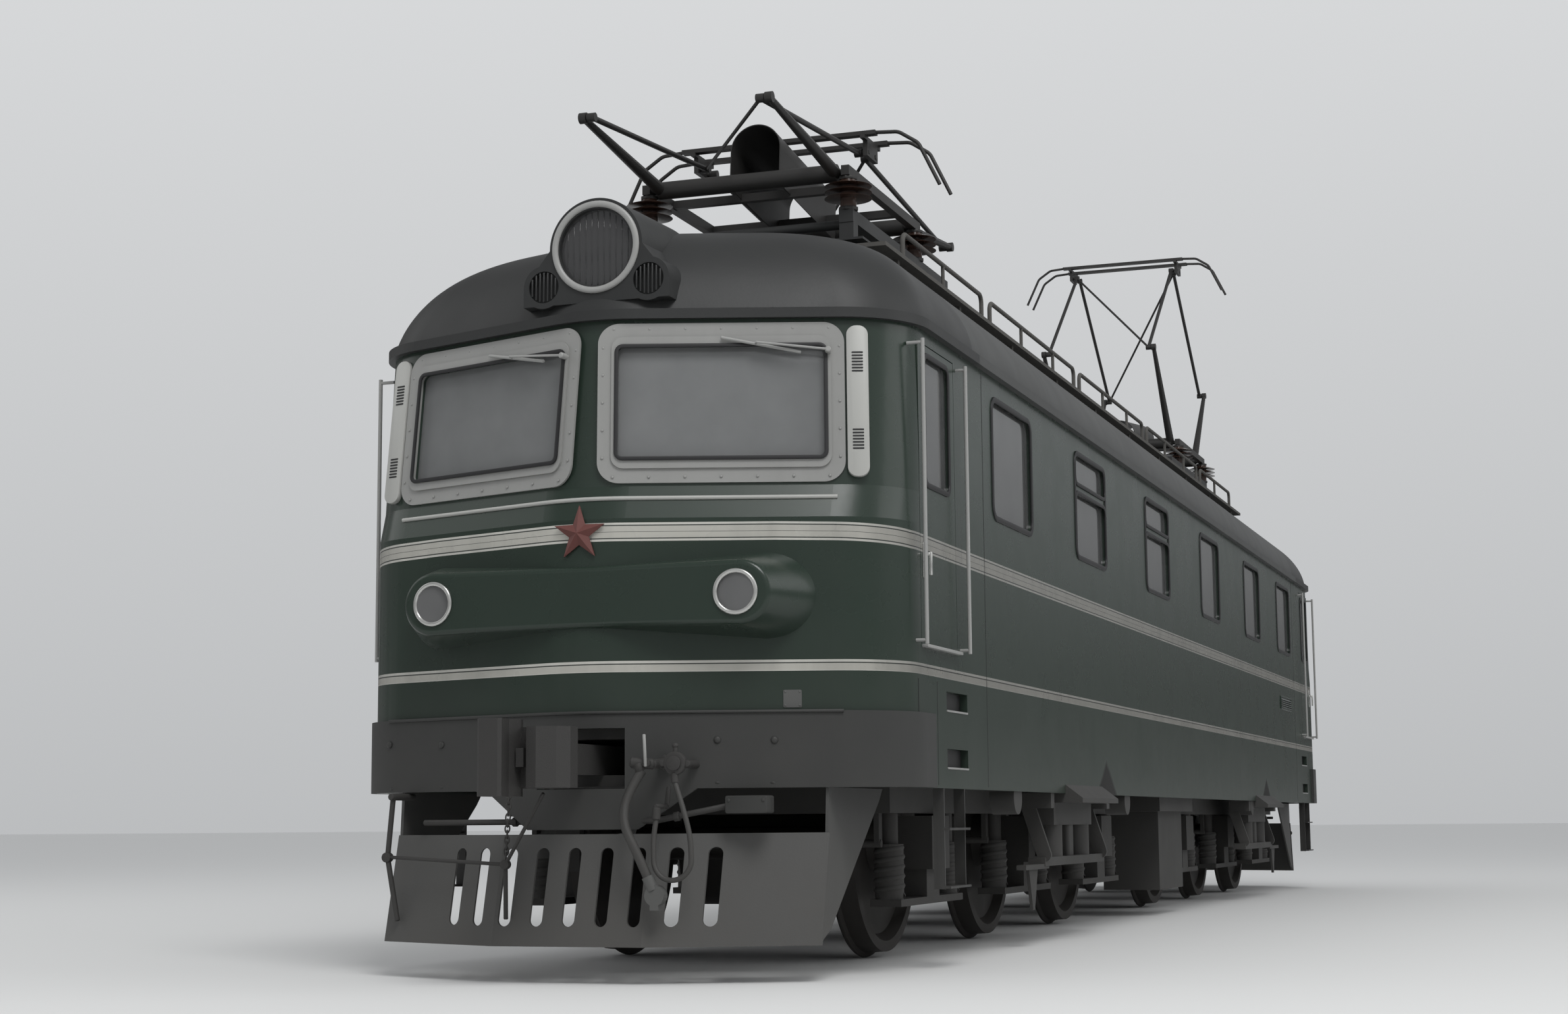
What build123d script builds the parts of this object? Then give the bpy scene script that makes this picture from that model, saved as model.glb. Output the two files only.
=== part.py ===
from build123d import *
from math import acos, cos, radians, sin, tan, degrees
import os

os.makedirs("parts", exist_ok=True)

# A six-axle main line electric locomotive, front towards -Y, standing on its flange tips at z = 0.
# All sizes are in millimetres. END is the sign of an end along Y: -1 front, +1 rear.
ENDS = (-1, 1)
SIDES = (-1, 1)

# Track and heights
RAIL_Z = 30
SOLE_Z = RAIL_Z + 915
BELT_Z = 2300
SHOULDER_Z = 2470
LIP_Z = 3347
LIP_TOP_Z = 3399
FLOOR_Z = 1620
FLOOR_T = 60

# Body outline in plan: flat sides, swept ends with a round nose
BODY_W = 3060
NOSE_Y = 8784
SHOULDER_NOSE_Y = 8725
LIP_NOSE_Y = 8634
SWEEP = 19
CORNER_R = 480
NOSE_R = 700
WALL_T = 60
CAB_SEAM_Y = 6770

# Roof sections above the gutter: height, half width, nose y, corner radius
ROOF_LEVELS = (
    (LIP_TOP_Z, BODY_W / 2, LIP_NOSE_Y, CORNER_R),
    (3580, 1480, 8545, 500),
    (3780, 1320, 8370, 520),
    (3930, 1060, 8060, 500),
    (4030, 740, 7660, 420),
    (4066, 470, 7250, 300),
)
ROOF_T = 50
GUTTER_OUT = 40

# Side windows and windscreens
WINDOW_Y = (1238, 3690, 5897)
WINDOW_W = 970
WINDOW_H = 708
WINDOW_Z = 2869
WINDOW_R = 90
PANE_T = 8
SCREEN_X = 655
SCREEN_Z = 2903
SCREEN_W = 1076
SCREEN_H = 600
SCREEN_R = 40
SCREEN_FRAME_W = 94
SCREEN_FRAME_H = 122
SCREEN_FRAME_R = 110
SCREEN_STEP = 48
SCREEN_FRAME_T = 12

# Cab doors: opening in the side, leaf, window
DOOR_Y = 7560
DOOR_W = 700
DOOR_SILL_Z = 1673
DOOR_TOP_Z = 3275
DOOR_GAP = 6
DOOR_T = 45
DOOR_WIN_W = 480
DOOR_WIN_H = 700
DOOR_WIN_Z = 2872
FOOT_HOLE_Y = 7240
FOOT_HOLE_Z = (1105, 1408)
FOOT_HOLE_W = 420
FOOT_HOLE_H = 98
FOOT_HOLE_DEEP = 45
HINGE_R = 10
HINGE_X = BODY_W / 2 - 90
HINGE_IN = 2
HINGE_LEVELS = (1850, 2450, 3050)
KNUCKLE_R = 20
KNUCKLE_H = 60

# End beams, couplers, ploughs
BEAM_OUT = 30
BEAM_TOP_Z = 1325
BEAM_END_Y = 7760
MOUTH_X = 240
MOUTH_H = 300
SKIRT_Z = 745
SKIRT_TOP_W = 1160
SKIRT_LOW_W = 600
SKIRT_T = 16
COUPLER_Z = RAIL_Z + 1060
COUPLER_Y = 9440
PLOUGH_TOP_Z = 723
PLOUGH_BOTTOM_Z = 180
PLOUGH_TOP_Y = 8806
PLOUGH_BOTTOM_Y = 8949
PLOUGH_HALF_W = 1195
PLOUGH_FLAT = 400
PLOUGH_T = 16
SLOT_COUNT = 9
SLOT_PITCH = 173
SLOT_W = 68
SLOT_L = 382
SLOT_Z = 466
PLOUGH_SWEEP = 25
STAY_X = 1180
STAY_T = 16
STAY_BACK = 900

# Underframe sills and the draft boxes that take the coupler shanks
SILL_X = 500
SILL_W = 120
SILL_LOW_Z = 1345
DRAFT_X = 260
DRAFT_IN_Y = 7580
DRAFT_OUT_Y = 8640
SHANK_W = 140
SHANK_H = 150
DRAFT_LOW_Z = COUPLER_Z - SHANK_H / 2 - 55

# Bogies
PIVOT_Y = 4100
AXLE_PITCH = 2300
WHEEL_R = 625
FLANGE_R = WHEEL_R + RAIL_Z
AXLE_Z = FLANGE_R
WHEEL_IN_X = 720
WHEEL_W = 140
AXLE_R = 95
JOURNAL_R = 75
RUN_GAP = 0.5
SIDE_X = 1050
SIDE_W = 180
SIDE_LOW_Z = 820
SIDE_TOP_Z = 1045
BOGIE_HALF = 3130
TRANSOM_Y = 1150
TRANSOM_W = 200
PIN_R = 110
MOTOR_R = 335
MOTOR_OFF = 560
MOTOR_Z = 615
MOTOR_L = 1040
MOTOR_LUG = 310
SPRING_R = 80
SPRING_Y = 560
SEAT_Z = 350
SEAT_T = 40
SPRING_TOP_Z = 650

# Pantographs: base pivots, arm lengths and the two rest angles
PANTO_Y = 5600
PIVOT_Z = 4680
BASE_HALF = 710
HEAD_HALF = 70
LOWER_L = 1190
UPPER_L = 1830
FOLDED_DEG = 6.5
RAISED_DEG = 47.0
INSULATOR_R = 50
ARM_X = 570
TUBE_X = 518
SHAFT_R = 55
OPEN_PIN_SLOT = 28


def body_outline(half_width, nose_y, corner_r, nose_r=NOSE_R):
    """Plan of the body at one height: flat sides and two swept, rounded ends."""
    apex = nose_y + nose_r * (1 / cos(radians(SWEEP)) - 1)
    corner = apex - half_width * tan(radians(SWEEP))
    corners = [(half_width, -corner), (half_width, corner), (0, apex)]
    corners += [(-half_width, corner), (-half_width, -corner), (0, -apex)]
    with BuildSketch() as plan:
        with BuildLine():
            Polyline(*corners, close=True)
        make_face()
        noses = plan.vertices().filter_by(lambda v: abs(v.X) < 1)
        fillet(noses, nose_r)
        shoulders = plan.vertices().filter_by(lambda v: abs(abs(v.X) - half_width) < 0.01)
        fillet(shoulders, corner_r)
    return plan.sketch


def body_solid(inset, low_z, high_z):
    """The body's closed volume up to the gutter, set in from the outer skin."""
    levels = (
        (low_z, BODY_W / 2 - inset, NOSE_Y - inset),
        (BELT_Z, BODY_W / 2 - inset, NOSE_Y - inset),
        (SHOULDER_Z, BODY_W / 2 - inset, SHOULDER_NOSE_Y - inset),
        (high_z, BODY_W / 2 - inset, LIP_NOSE_Y - inset),
    )
    with BuildPart() as body:
        for low, high in zip(levels[:-1], levels[1:]):
            with BuildSketch(Plane.XY.offset(low[0])):
                add(body_outline(low[1], low[2], CORNER_R - inset))
            with BuildSketch(Plane.XY.offset(high[0])):
                add(body_outline(high[1], high[2], CORNER_R - inset))
            loft(ruled=True)
    return body.part


def inward_plane(end, y, x=0, z=0):
    """Upright plane across the vehicle at one end: its z points into the body, its y points up."""
    return Plane(origin=(x, end * y, z), x_dir=(end, 0, 0), z_dir=(0, -end, 0))


def screen_plane(end, side):
    """Plane on a windscreen: its z points out of the cab, its y points up the glass."""
    lean = (SHOULDER_NOSE_Y - LIP_NOSE_Y) / (LIP_Z - SHOULDER_Z)
    nose = SHOULDER_NOSE_Y - lean * (SCREEN_Z - SHOULDER_Z)
    apex = nose + NOSE_R * (1 / cos(radians(SWEEP)) - 1)
    y = end * (apex - SCREEN_X * tan(radians(SWEEP)))
    out = Vector(side * sin(radians(SWEEP)), end * cos(radians(SWEEP)), lean * cos(radians(SWEEP)))
    along = Vector(0, 0, 1).cross(out)
    return Plane(origin=(side * SCREEN_X, y, SCREEN_Z), x_dir=along, z_dir=out)


# Cab shells: hollow ends of the body, with windscreens and door openings
body_outer = body_solid(0, SOLE_Z, LIP_Z)
body_inner = body_solid(WALL_T, SOLE_Z, LIP_Z)

with BuildPart() as cab_shells:
    add(body_outer)
    add(body_inner, mode=Mode.SUBTRACT)
    with BuildSketch(Plane.XY.offset(SOLE_Z)):
        Rectangle(BODY_W + 20, 2 * CAB_SEAM_Y)
    extrude(amount=LIP_Z - SOLE_Z, mode=Mode.SUBTRACT)
    for end in ENDS:
        for side in SIDES:
            with BuildSketch(screen_plane(end, side)):
                RectangleRounded(SCREEN_W, SCREEN_H, SCREEN_R)
            extrude(amount=150, both=True, mode=Mode.SUBTRACT)
        with Locations((0, end * DOOR_Y, (DOOR_SILL_Z + DOOR_TOP_Z) / 2)):
            Box(BODY_W + 20, DOOR_W, DOOR_TOP_Z - DOOR_SILL_Z, mode=Mode.SUBTRACT)
        with Locations((0, end * NOSE_Y, SOLE_Z + MOUTH_H / 2)):
            Box(2 * MOUTH_X, 600, MOUTH_H, mode=Mode.SUBTRACT)
        for side in SIDES:
            with Locations(*[(side * BODY_W / 2, end * FOOT_HOLE_Y, z) for z in FOOT_HOLE_Z]):
                Box(2 * FOOT_HOLE_DEEP, FOOT_HOLE_W, FOOT_HOLE_H, mode=Mode.SUBTRACT)

# Lamp pods: a sculpted band across the lower nose that carries the two marker lamps. Its front is a
# shallow arc, proud of the nose in the middle, and it widens towards the skin
LAMP_X = 832
LAMP_Z = 1902
LAMP_FACE_Y = 8774
LAMP_R = 105
POD_R = 150
POD_FLARE = 95
POD_FLARE_W = 170
POD_DEPTH = 420
POD_PROUD = 24
POD_EDGE = 28
POD_SAG = NOSE_Y + POD_PROUD - LAMP_FACE_Y
POD_ARC_R = (LAMP_X ** 2 + POD_SAG ** 2) / (2 * POD_SAG)
with BuildPart() as lamp_pods:
    for end in ENDS:
        front = inward_plane(end, NOSE_Y + POD_PROUD, 0, LAMP_Z)
        with BuildSketch(front):
            SlotOverall(2 * (LAMP_X + POD_R), 2 * POD_R)
        with BuildSketch(front.offset(POD_DEPTH)):
            SlotOverall(2 * (LAMP_X + POD_R + POD_FLARE_W), 2 * (POD_R + POD_FLARE))
        loft()
    for end in ENDS:
        with BuildSketch(Plane.XY.offset(LAMP_Z - 500)):
            with Locations((0, end * (NOSE_Y + 1000))):
                Rectangle(2 * BODY_W, 4000)
            with Locations((0, end * (NOSE_Y + POD_PROUD - POD_ARC_R))):
                Circle(POD_ARC_R, mode=Mode.SUBTRACT)
        extrude(amount=1000, mode=Mode.SUBTRACT)
    rims = [edge for edge in lamp_pods.edges() if abs(edge.center().Y) > LAMP_FACE_Y - 60]
    fillet(rims, POD_EDGE)
    add(body_inner, mode=Mode.SUBTRACT)

with BuildPart() as shells_with_pods:
    add(cab_shells.part)
    add(lamp_pods.part)
    for end in ENDS:
        for side in SIDES:
            front = inward_plane(end, NOSE_Y + POD_PROUD, side * LAMP_X, LAMP_Z)
            with BuildSketch(front):
                Circle(LAMP_R)
            extrude(amount=POD_SAG + 60, mode=Mode.SUBTRACT)
            for z in HINGE_LEVELS:
                with Locations((side * HINGE_X, end * (DOOR_Y - DOOR_W / 2 + HINGE_IN), z)):
                    Cylinder(HINGE_R, KNUCKLE_H + 20)
                with Locations(*[(side * (BODY_W / 2 - WALL_T - 30), end * (DOOR_Y - DOOR_W / 2 - 15),
                                  z + up * (KNUCKLE_H / 2 + 10)) for up in (-1, 1)]):
                    Box(60, 50, 10)
shells_with_pods.part.label = "cab_shells"
export_step(shells_with_pods.part, "parts/cab_shells.step")

# Side walls between the cab seams, with six windows a side
with BuildPart() as side_walls:
    for side in SIDES:
        with Locations((side * (BODY_W - WALL_T) / 2, 0, (SOLE_Z + LIP_Z) / 2)):
            Box(WALL_T, 2 * CAB_SEAM_Y, LIP_Z - SOLE_Z)
    for y in WINDOW_Y:
        for end in ENDS:
            with BuildSketch(Plane.YZ.offset(-BODY_W)):
                with Locations((end * y, WINDOW_Z)):
                    RectangleRounded(WINDOW_W, WINDOW_H, WINDOW_R)
            extrude(amount=2 * BODY_W, mode=Mode.SUBTRACT)
side_walls.part.label = "side_walls"
export_step(side_walls.part, "parts/side_walls.step")


# Roof: one smooth shell from nose to nose, cut at the cab seams, with a gutter bead at its foot
def roof_solid(inset):
    """The roof's closed volume, set in from its outer skin."""
    with BuildPart() as roof:
        for z, half_width, nose_y, corner_r in ROOF_LEVELS:
            drop = 0 if z == LIP_TOP_Z else inset
            with BuildSketch(Plane.XY.offset(z - drop)):
                add(body_outline(half_width - inset, nose_y - inset, corner_r - inset / 2, NOSE_R - inset))
        loft()
    return roof.part


roof_outer = roof_solid(0)
roof_inner = roof_solid(ROOF_T)
with BuildPart() as roof_shell:
    add(roof_outer)
    add(roof_inner, mode=Mode.SUBTRACT)
    with BuildSketch(Plane.XY.offset(LIP_Z)) as lip:
        add(body_outline(BODY_W / 2 + GUTTER_OUT, LIP_NOSE_Y + GUTTER_OUT, CORNER_R + GUTTER_OUT))
        add(body_outline(BODY_W / 2 - WALL_T, LIP_NOSE_Y - WALL_T, CORNER_R - WALL_T), mode=Mode.SUBTRACT)
    extrude(amount=LIP_TOP_Z - LIP_Z)

HEADLIGHT_Z = 3751
HEADLIGHT_Y = 8600
HEADLIGHT_R = 262
LENS_R = 205
HORN_X = 296
HORN_Z = 3561
HORN_R = 85
HORN_WALL = 30
FAIRING_LOW_Z = LIP_TOP_Z + 60
with BuildPart() as roof_domes:
    add(roof_shell.part)
    with BuildSketch(Plane.XY.offset(LIP_Z)):
        Rectangle(BODY_W + 200, 2 * CAB_SEAM_Y)
    extrude(amount=1000, mode=Mode.SUBTRACT)
    for end in ENDS:
        shoulder = HORN_X + HORN_R + HORN_WALL
        with BuildSketch(inward_plane(end, HEADLIGHT_Y)):
            with Locations((0, HEADLIGHT_Z)):
                Circle(HEADLIGHT_R)
            with Locations((-HORN_X, HORN_Z), (HORN_X, HORN_Z)):
                Circle(HORN_R + HORN_WALL)
            with BuildLine():
                Polyline((-shoulder, FAIRING_LOW_Z), (shoulder, FAIRING_LOW_Z), (shoulder, HORN_Z),
                         (HEADLIGHT_R, HEADLIGHT_Z), (-HEADLIGHT_R, HEADLIGHT_Z), (-shoulder, HORN_Z), close=True)
            make_face()
        extrude(amount=700, taper=-2)
    add(roof_inner, mode=Mode.SUBTRACT)
    for end in ENDS:
        with BuildSketch(inward_plane(end, HEADLIGHT_Y, 0, HEADLIGHT_Z)):
            Circle(LENS_R)
        extrude(amount=140, mode=Mode.SUBTRACT)
        with BuildSketch(inward_plane(end, HEADLIGHT_Y, 0, HORN_Z)):
            with Locations((-HORN_X, 0), (HORN_X, 0)):
                Circle(HORN_R)
        extrude(amount=60, mode=Mode.SUBTRACT)
roof_domes.part.label = "roof_domes"
export_step(roof_domes.part, "parts/roof_domes.step")

seam_faces = [face for face in roof_domes.faces().filter_by(Axis.Y) if abs(face.center().Y + CAB_SEAM_Y) < 1]
with BuildPart() as roof_centre:
    for face in seam_faces:
        extrude(face, amount=2 * CAB_SEAM_Y, dir=(0, 1, 0))
roof_centre.part.label = "roof_centre"
export_step(roof_centre.part, "parts/roof_centre.step")

# Underframe: floor, sills, bolsters, pivot pins and draft boxes
with BuildPart() as underframe:
    with BuildSketch(Plane.XY.offset(FLOOR_Z - FLOOR_T)):
        add(body_outline(BODY_W / 2 - WALL_T, NOSE_Y - WALL_T, CORNER_R - WALL_T))
    extrude(amount=FLOOR_T)
    with Locations(*[(side * SILL_X, 0, (SILL_LOW_Z + FLOOR_Z - FLOOR_T) / 2) for side in SIDES]):
        Box(SILL_W, 2 * 8250, FLOOR_Z - FLOOR_T - SILL_LOW_Z)
    for end in ENDS:
        with Locations((0, end * PIVOT_Y, (SILL_LOW_Z + FLOOR_Z - FLOOR_T) / 2)):
            Box(BODY_W - 2 * WALL_T, 400, FLOOR_Z - FLOOR_T - SILL_LOW_Z)
        with BuildSketch(Plane.XY.offset(SIDE_TOP_Z - 60)):
            with Locations((0, end * PIVOT_Y)):
                Circle(PIN_R)
        extrude(amount=SILL_LOW_Z - SIDE_TOP_Z + 70)
        with Locations((0, end * (DRAFT_IN_Y + DRAFT_OUT_Y) / 2, (DRAFT_LOW_Z + FLOOR_Z - FLOOR_T) / 2)):
            Box(2 * DRAFT_X, DRAFT_OUT_Y - DRAFT_IN_Y, FLOOR_Z - FLOOR_T - DRAFT_LOW_Z)
        with Locations((0, end * (DRAFT_OUT_Y - 400), COUPLER_Z + 15)):
            Box(2 * DRAFT_X - 80, 800, SHANK_H + 30, mode=Mode.SUBTRACT)
underframe.part.label = "underframe"
export_step(underframe.part, "parts/underframe.step")

# End beams: aprons round the nose with the coupler mouth
with BuildPart() as end_beams:
    with BuildSketch(Plane.XY.offset(SOLE_Z)):
        add(body_outline(BODY_W / 2 + BEAM_OUT, NOSE_Y + BEAM_OUT, CORNER_R + BEAM_OUT))
        add(body_outline(BODY_W / 2, NOSE_Y, CORNER_R), mode=Mode.SUBTRACT)
    extrude(amount=BEAM_TOP_Z - SOLE_Z)
    with Locations((0, 0, SOLE_Z)):
        Box(BODY_W + 200, 2 * BEAM_END_Y, 1000, mode=Mode.SUBTRACT)
    for end in ENDS:
        with Locations((0, end * NOSE_Y, SOLE_Z + MOUTH_H / 2)):
            Box(2 * MOUTH_X, 600, MOUTH_H, mode=Mode.SUBTRACT)

# Skirt below the beam: a plate that follows the nose and narrows downwards
with BuildPart() as beam_skirts:
    with BuildSketch(Plane.XY.offset(SKIRT_Z)):
        add(body_outline(BODY_W / 2 + BEAM_OUT, NOSE_Y + BEAM_OUT, CORNER_R + BEAM_OUT))
        add(body_outline(BODY_W / 2 + BEAM_OUT - SKIRT_T, NOSE_Y + BEAM_OUT - SKIRT_T, CORNER_R), mode=Mode.SUBTRACT)
    extrude(amount=SOLE_Z - SKIRT_Z)
    with BuildSketch(Plane.XZ):
        with BuildLine():
            Polyline((-SKIRT_LOW_W / 2, SKIRT_Z), (SKIRT_LOW_W / 2, SKIRT_Z), (SKIRT_TOP_W / 2, SOLE_Z),
                     (-SKIRT_TOP_W / 2, SOLE_Z), close=True)
        make_face()
    extrude(amount=2 * NOSE_Y, both=True, mode=Mode.INTERSECT)

with BuildPart() as beams_with_skirts:
    add(end_beams.part)
    add(beam_skirts.part)
beams_with_skirts.part.label = "end_beams"
export_step(beams_with_skirts.part, "parts/end_beams.step")

# Couplers: a shank and a claw head of the automatic, knuckle-less kind
# Plans of the head, across and back from the coupling face: the body with its small jaw, then the big claw
HEAD_L = 330
HEAD_PLANS = (
    (290, ((-70, HEAD_L), (-200, 175), (-205, 110), (-60, 110), (-20, 96), (10, 20), (70, 0), (160, 34),
           (206, 96), (206, 180), (70, HEAD_L))),
    (368, ((-205, 175), (-205, -62), (-190, -78), (-92, -78), (-78, -62), (-84, 30), (-60, 111), (-80, 175))),
    (90, ((-62, 110), (-62, 58), (-22, 58), (-16, 110))),
)
with BuildPart() as couplers:
    for end in ENDS:
        for height, plan in HEAD_PLANS:
            with BuildSketch(Plane.XY.offset(COUPLER_Z - height / 2)):
                with BuildLine():
                    Polyline(*[(-end * x, end * (COUPLER_Y - y)) for x, y in plan], close=True)
                make_face()
            extrude(amount=height)
        with Locations((0, end * (COUPLER_Y - HEAD_L - 400), COUPLER_Z)):
            Box(SHANK_W, 820, SHANK_H)
couplers.part.label = "couplers"
export_step(couplers.part, "parts/couplers.step")

# Snowploughs: swept slotted blades on stays below the beam
with BuildPart() as snowploughs:
    back = (PLOUGH_HALF_W - PLOUGH_FLAT) * tan(radians(PLOUGH_SWEEP))
    for end in ENDS:
        for z, y in ((PLOUGH_BOTTOM_Z, PLOUGH_BOTTOM_Y), (PLOUGH_TOP_Z, PLOUGH_TOP_Y)):
            front = [(PLOUGH_HALF_W, y - back), (PLOUGH_FLAT, y), (-PLOUGH_FLAT, y), (-PLOUGH_HALF_W, y - back)]
            rear = [(x, out - PLOUGH_T) for x, out in reversed(front)]
            with BuildSketch(Plane.XY.offset(z)):
                with BuildLine():
                    Polyline(*[(x, end * out) for x, out in front + rear], close=True)
                make_face()
        loft(ruled=True)
    with BuildSketch(Plane.XZ.offset(-9500)):
        with Locations((0, SLOT_Z)):
            with GridLocations(SLOT_PITCH, 1, SLOT_COUNT, 1):
                SlotOverall(SLOT_L, SLOT_W, rotation=90)
    extrude(amount=19000, mode=Mode.SUBTRACT)
    stay_in = (STAY_X - PLOUGH_FLAT) * tan(radians(PLOUGH_SWEEP)) + PLOUGH_T / 2
    top_y = PLOUGH_TOP_Y - stay_in
    bottom_y = PLOUGH_BOTTOM_Y - stay_in
    beam_y = NOSE_Y + NOSE_R * (1 / cos(radians(SWEEP)) - 1) - STAY_X * tan(radians(SWEEP))
    lean = (PLOUGH_BOTTOM_Y - PLOUGH_TOP_Y) / (PLOUGH_TOP_Z - PLOUGH_BOTTOM_Z)
    for end in ENDS:
        for side in SIDES:
            with BuildSketch(Plane.YZ.offset(side * STAY_X - STAY_T / 2)):
                with BuildLine():
                    Polyline((end * beam_y, SOLE_Z), (end * (beam_y - STAY_BACK), SOLE_Z),
                             (end * (beam_y - STAY_BACK + 60), SOLE_Z - 60),
                             (end * (bottom_y - 170), PLOUGH_BOTTOM_Z + 70), (end * bottom_y, PLOUGH_BOTTOM_Z + 5),
                             (end * top_y, PLOUGH_TOP_Z), close=True)
                make_face()
            extrude(amount=STAY_T)
            with BuildSketch(Plane.YZ.offset(side * (DRAFT_X - 40) - STAY_T / 2)):
                plate_y = PLOUGH_TOP_Y - PLOUGH_T / 2
                with BuildLine():
                    Polyline((end * DRAFT_OUT_Y, DRAFT_LOW_Z), (end * (DRAFT_OUT_Y - 200), DRAFT_LOW_Z),
                             (end * (plate_y - 110), PLOUGH_TOP_Z - 120),
                             (end * (plate_y + 120 * lean), PLOUGH_TOP_Z - 120),
                             (end * plate_y, PLOUGH_TOP_Z), (end * (plate_y - 55), PLOUGH_TOP_Z + 5), close=True)
                make_face()
            extrude(amount=STAY_T)
snowploughs.part.label = "snowploughs"
export_step(snowploughs.part, "parts/snowploughs.step")

# Cab bulkheads
with BuildPart() as cab_bulkheads:
    for end in ENDS:
        with Locations((0, end * (CAB_SEAM_Y + 20), (FLOOR_Z + LIP_Z) / 2)):
            Box(BODY_W - 2 * WALL_T, 40, LIP_Z - FLOOR_Z)
        with Locations((0, end * (CAB_SEAM_Y + 20), FLOOR_Z + 980)):
            Box(600, 60, 1920, mode=Mode.SUBTRACT)
cab_bulkheads.part.label = "cab_bulkheads"
export_step(cab_bulkheads.part, "parts/cab_bulkheads.step")

# Machinery: the heavy mass between the cabs
with BuildPart() as machinery:
    with Locations((0, 0, (FLOOR_Z + 3150) / 2)):
        Box(1700, 12000, 3150 - FLOOR_Z)
machinery.part.label = "machinery"
export_step(machinery.part, "parts/machinery.step")

# Glass: side windows, windscreens and lamp lenses
with BuildPart() as window_glass:
    for side in SIDES:
        for y in WINDOW_Y:
            for end in ENDS:
                with BuildSketch(Plane.YZ.offset(side * (BODY_W / 2 - 26) - PANE_T / 2)):
                    with Locations((end * y, WINDOW_Z)):
                        RectangleRounded(WINDOW_W, WINDOW_H, WINDOW_R)
                extrude(amount=PANE_T)
    for end in ENDS:
        for side in SIDES:
            with BuildSketch(screen_plane(end, side).offset(-24)):
                RectangleRounded(SCREEN_W, SCREEN_H, SCREEN_R)
            extrude(amount=PANE_T)
            with BuildSketch(inward_plane(end, LAMP_FACE_Y, side * LAMP_X, LAMP_Z)):
                Circle(LAMP_R)
            extrude(amount=PANE_T)
        with BuildSketch(inward_plane(end, HEADLIGHT_Y - 30, 0, HEADLIGHT_Z)):
            Circle(LENS_R)
        extrude(amount=PANE_T)
window_glass.part.label = "window_glass"
export_step(window_glass.part, "parts/window_glass.step")

# Windscreen frames: riveted rims in front of the skin
with BuildPart() as windscreen_frames:
    for end in ENDS:
        for side in SIDES:
            with BuildSketch(screen_plane(end, side)):
                RectangleRounded(SCREEN_W + 2 * SCREEN_FRAME_W, SCREEN_H + 2 * SCREEN_FRAME_H, SCREEN_FRAME_R)
                RectangleRounded(SCREEN_W, SCREEN_H, SCREEN_R, mode=Mode.SUBTRACT)
            extrude(amount=SCREEN_FRAME_T)
            with BuildSketch(screen_plane(end, side).offset(SCREEN_FRAME_T)):
                RectangleRounded(SCREEN_W + SCREEN_STEP, SCREEN_H + 2 * SCREEN_STEP, SCREEN_R + SCREEN_STEP / 2)
                RectangleRounded(SCREEN_W, SCREEN_H, SCREEN_R, mode=Mode.SUBTRACT)
            extrude(amount=SCREEN_FRAME_T)
windscreen_frames.part.label = "windscreen_frames"
export_step(windscreen_frames.part, "parts/windscreen_frames.step")

# Lamps: reflector bowls behind the lenses
with BuildPart() as lamps:
    for end in ENDS:
        with BuildSketch(inward_plane(end, HEADLIGHT_Y - 30 - PANE_T, 0, HEADLIGHT_Z)):
            Circle(LENS_R)
            Circle(LENS_R - 12, mode=Mode.SUBTRACT)
        extrude(amount=102)
        for side in SIDES:
            with BuildSketch(inward_plane(end, LAMP_FACE_Y - PANE_T, side * LAMP_X, LAMP_Z)):
                Circle(LAMP_R)
                Circle(LAMP_R - 10, mode=Mode.SUBTRACT)
            extrude(amount=52)
lamps.part.label = "lamps"
export_step(lamps.part, "parts/lamps.step")

# Cab furniture: desk and two seats in each cab
with BuildPart() as cab_furniture:
    for end in ENDS:
        with BuildSketch(Plane.XY.offset(FLOOR_Z)):
            with BuildLine():
                Polyline((-1250, end * 8100), (0, end * 8500), (1250, end * 8100), (1250, end * 7950),
                         (-1250, end * 7950), close=True)
            make_face()
        extrude(amount=760)
        for side in SIDES:
            with Locations((side * 500, end * 7560, FLOOR_Z + 225)):
                Box(120, 120, 450)
            with Locations((side * 500, end * 7560, FLOOR_Z + 490)):
                Box(420, 440, 80)
            with Locations((side * 500, end * 7370, FLOOR_Z + 780)):
                Box(420, 60, 500)
cab_furniture.part.label = "cab_furniture"
export_step(cab_furniture.part, "parts/cab_furniture.step")

# Brake hose and jumper hose at each end: routes as seen at the front, x, distance from the middle, z
HOSE_D = 46
HOSE_ROUTE = ((392, 8914, 1030), (328, 8955, 915), (326, 9000, 775), (400, 9005, 640), (452, 8990, 520))
JUMPER_D = 26
JUMPER_ROUTE = (
    (572, 8930, 970), (622, 8952, 850), (664, 8968, 720), (674, 8976, 630), (675, 8979, 561),
    (619, 8980, 503), (537, 8980, 501), (481, 8978, 557), (475, 8968, 638), (470, 8955, 715), (477, 8940, 790),
)


def bend_radii(points):
    """Largest arc at each inner point that leaves a straight piece on both runs."""
    radii = []
    for before, here, after in zip(points[:-2], points[1:-1], points[2:]):
        first = Vector(*here) - Vector(*before)
        second = Vector(*after) - Vector(*here)
        turn = radians(first.get_angle(second))
        radii.append(0.45 * min(first.length, second.length) / tan(turn / 2))
    return radii


def end_point(end, point):
    """A route point turned to its own end of the vehicle."""
    x, y, z = point
    return (-end * x, end * y, z)


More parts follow.
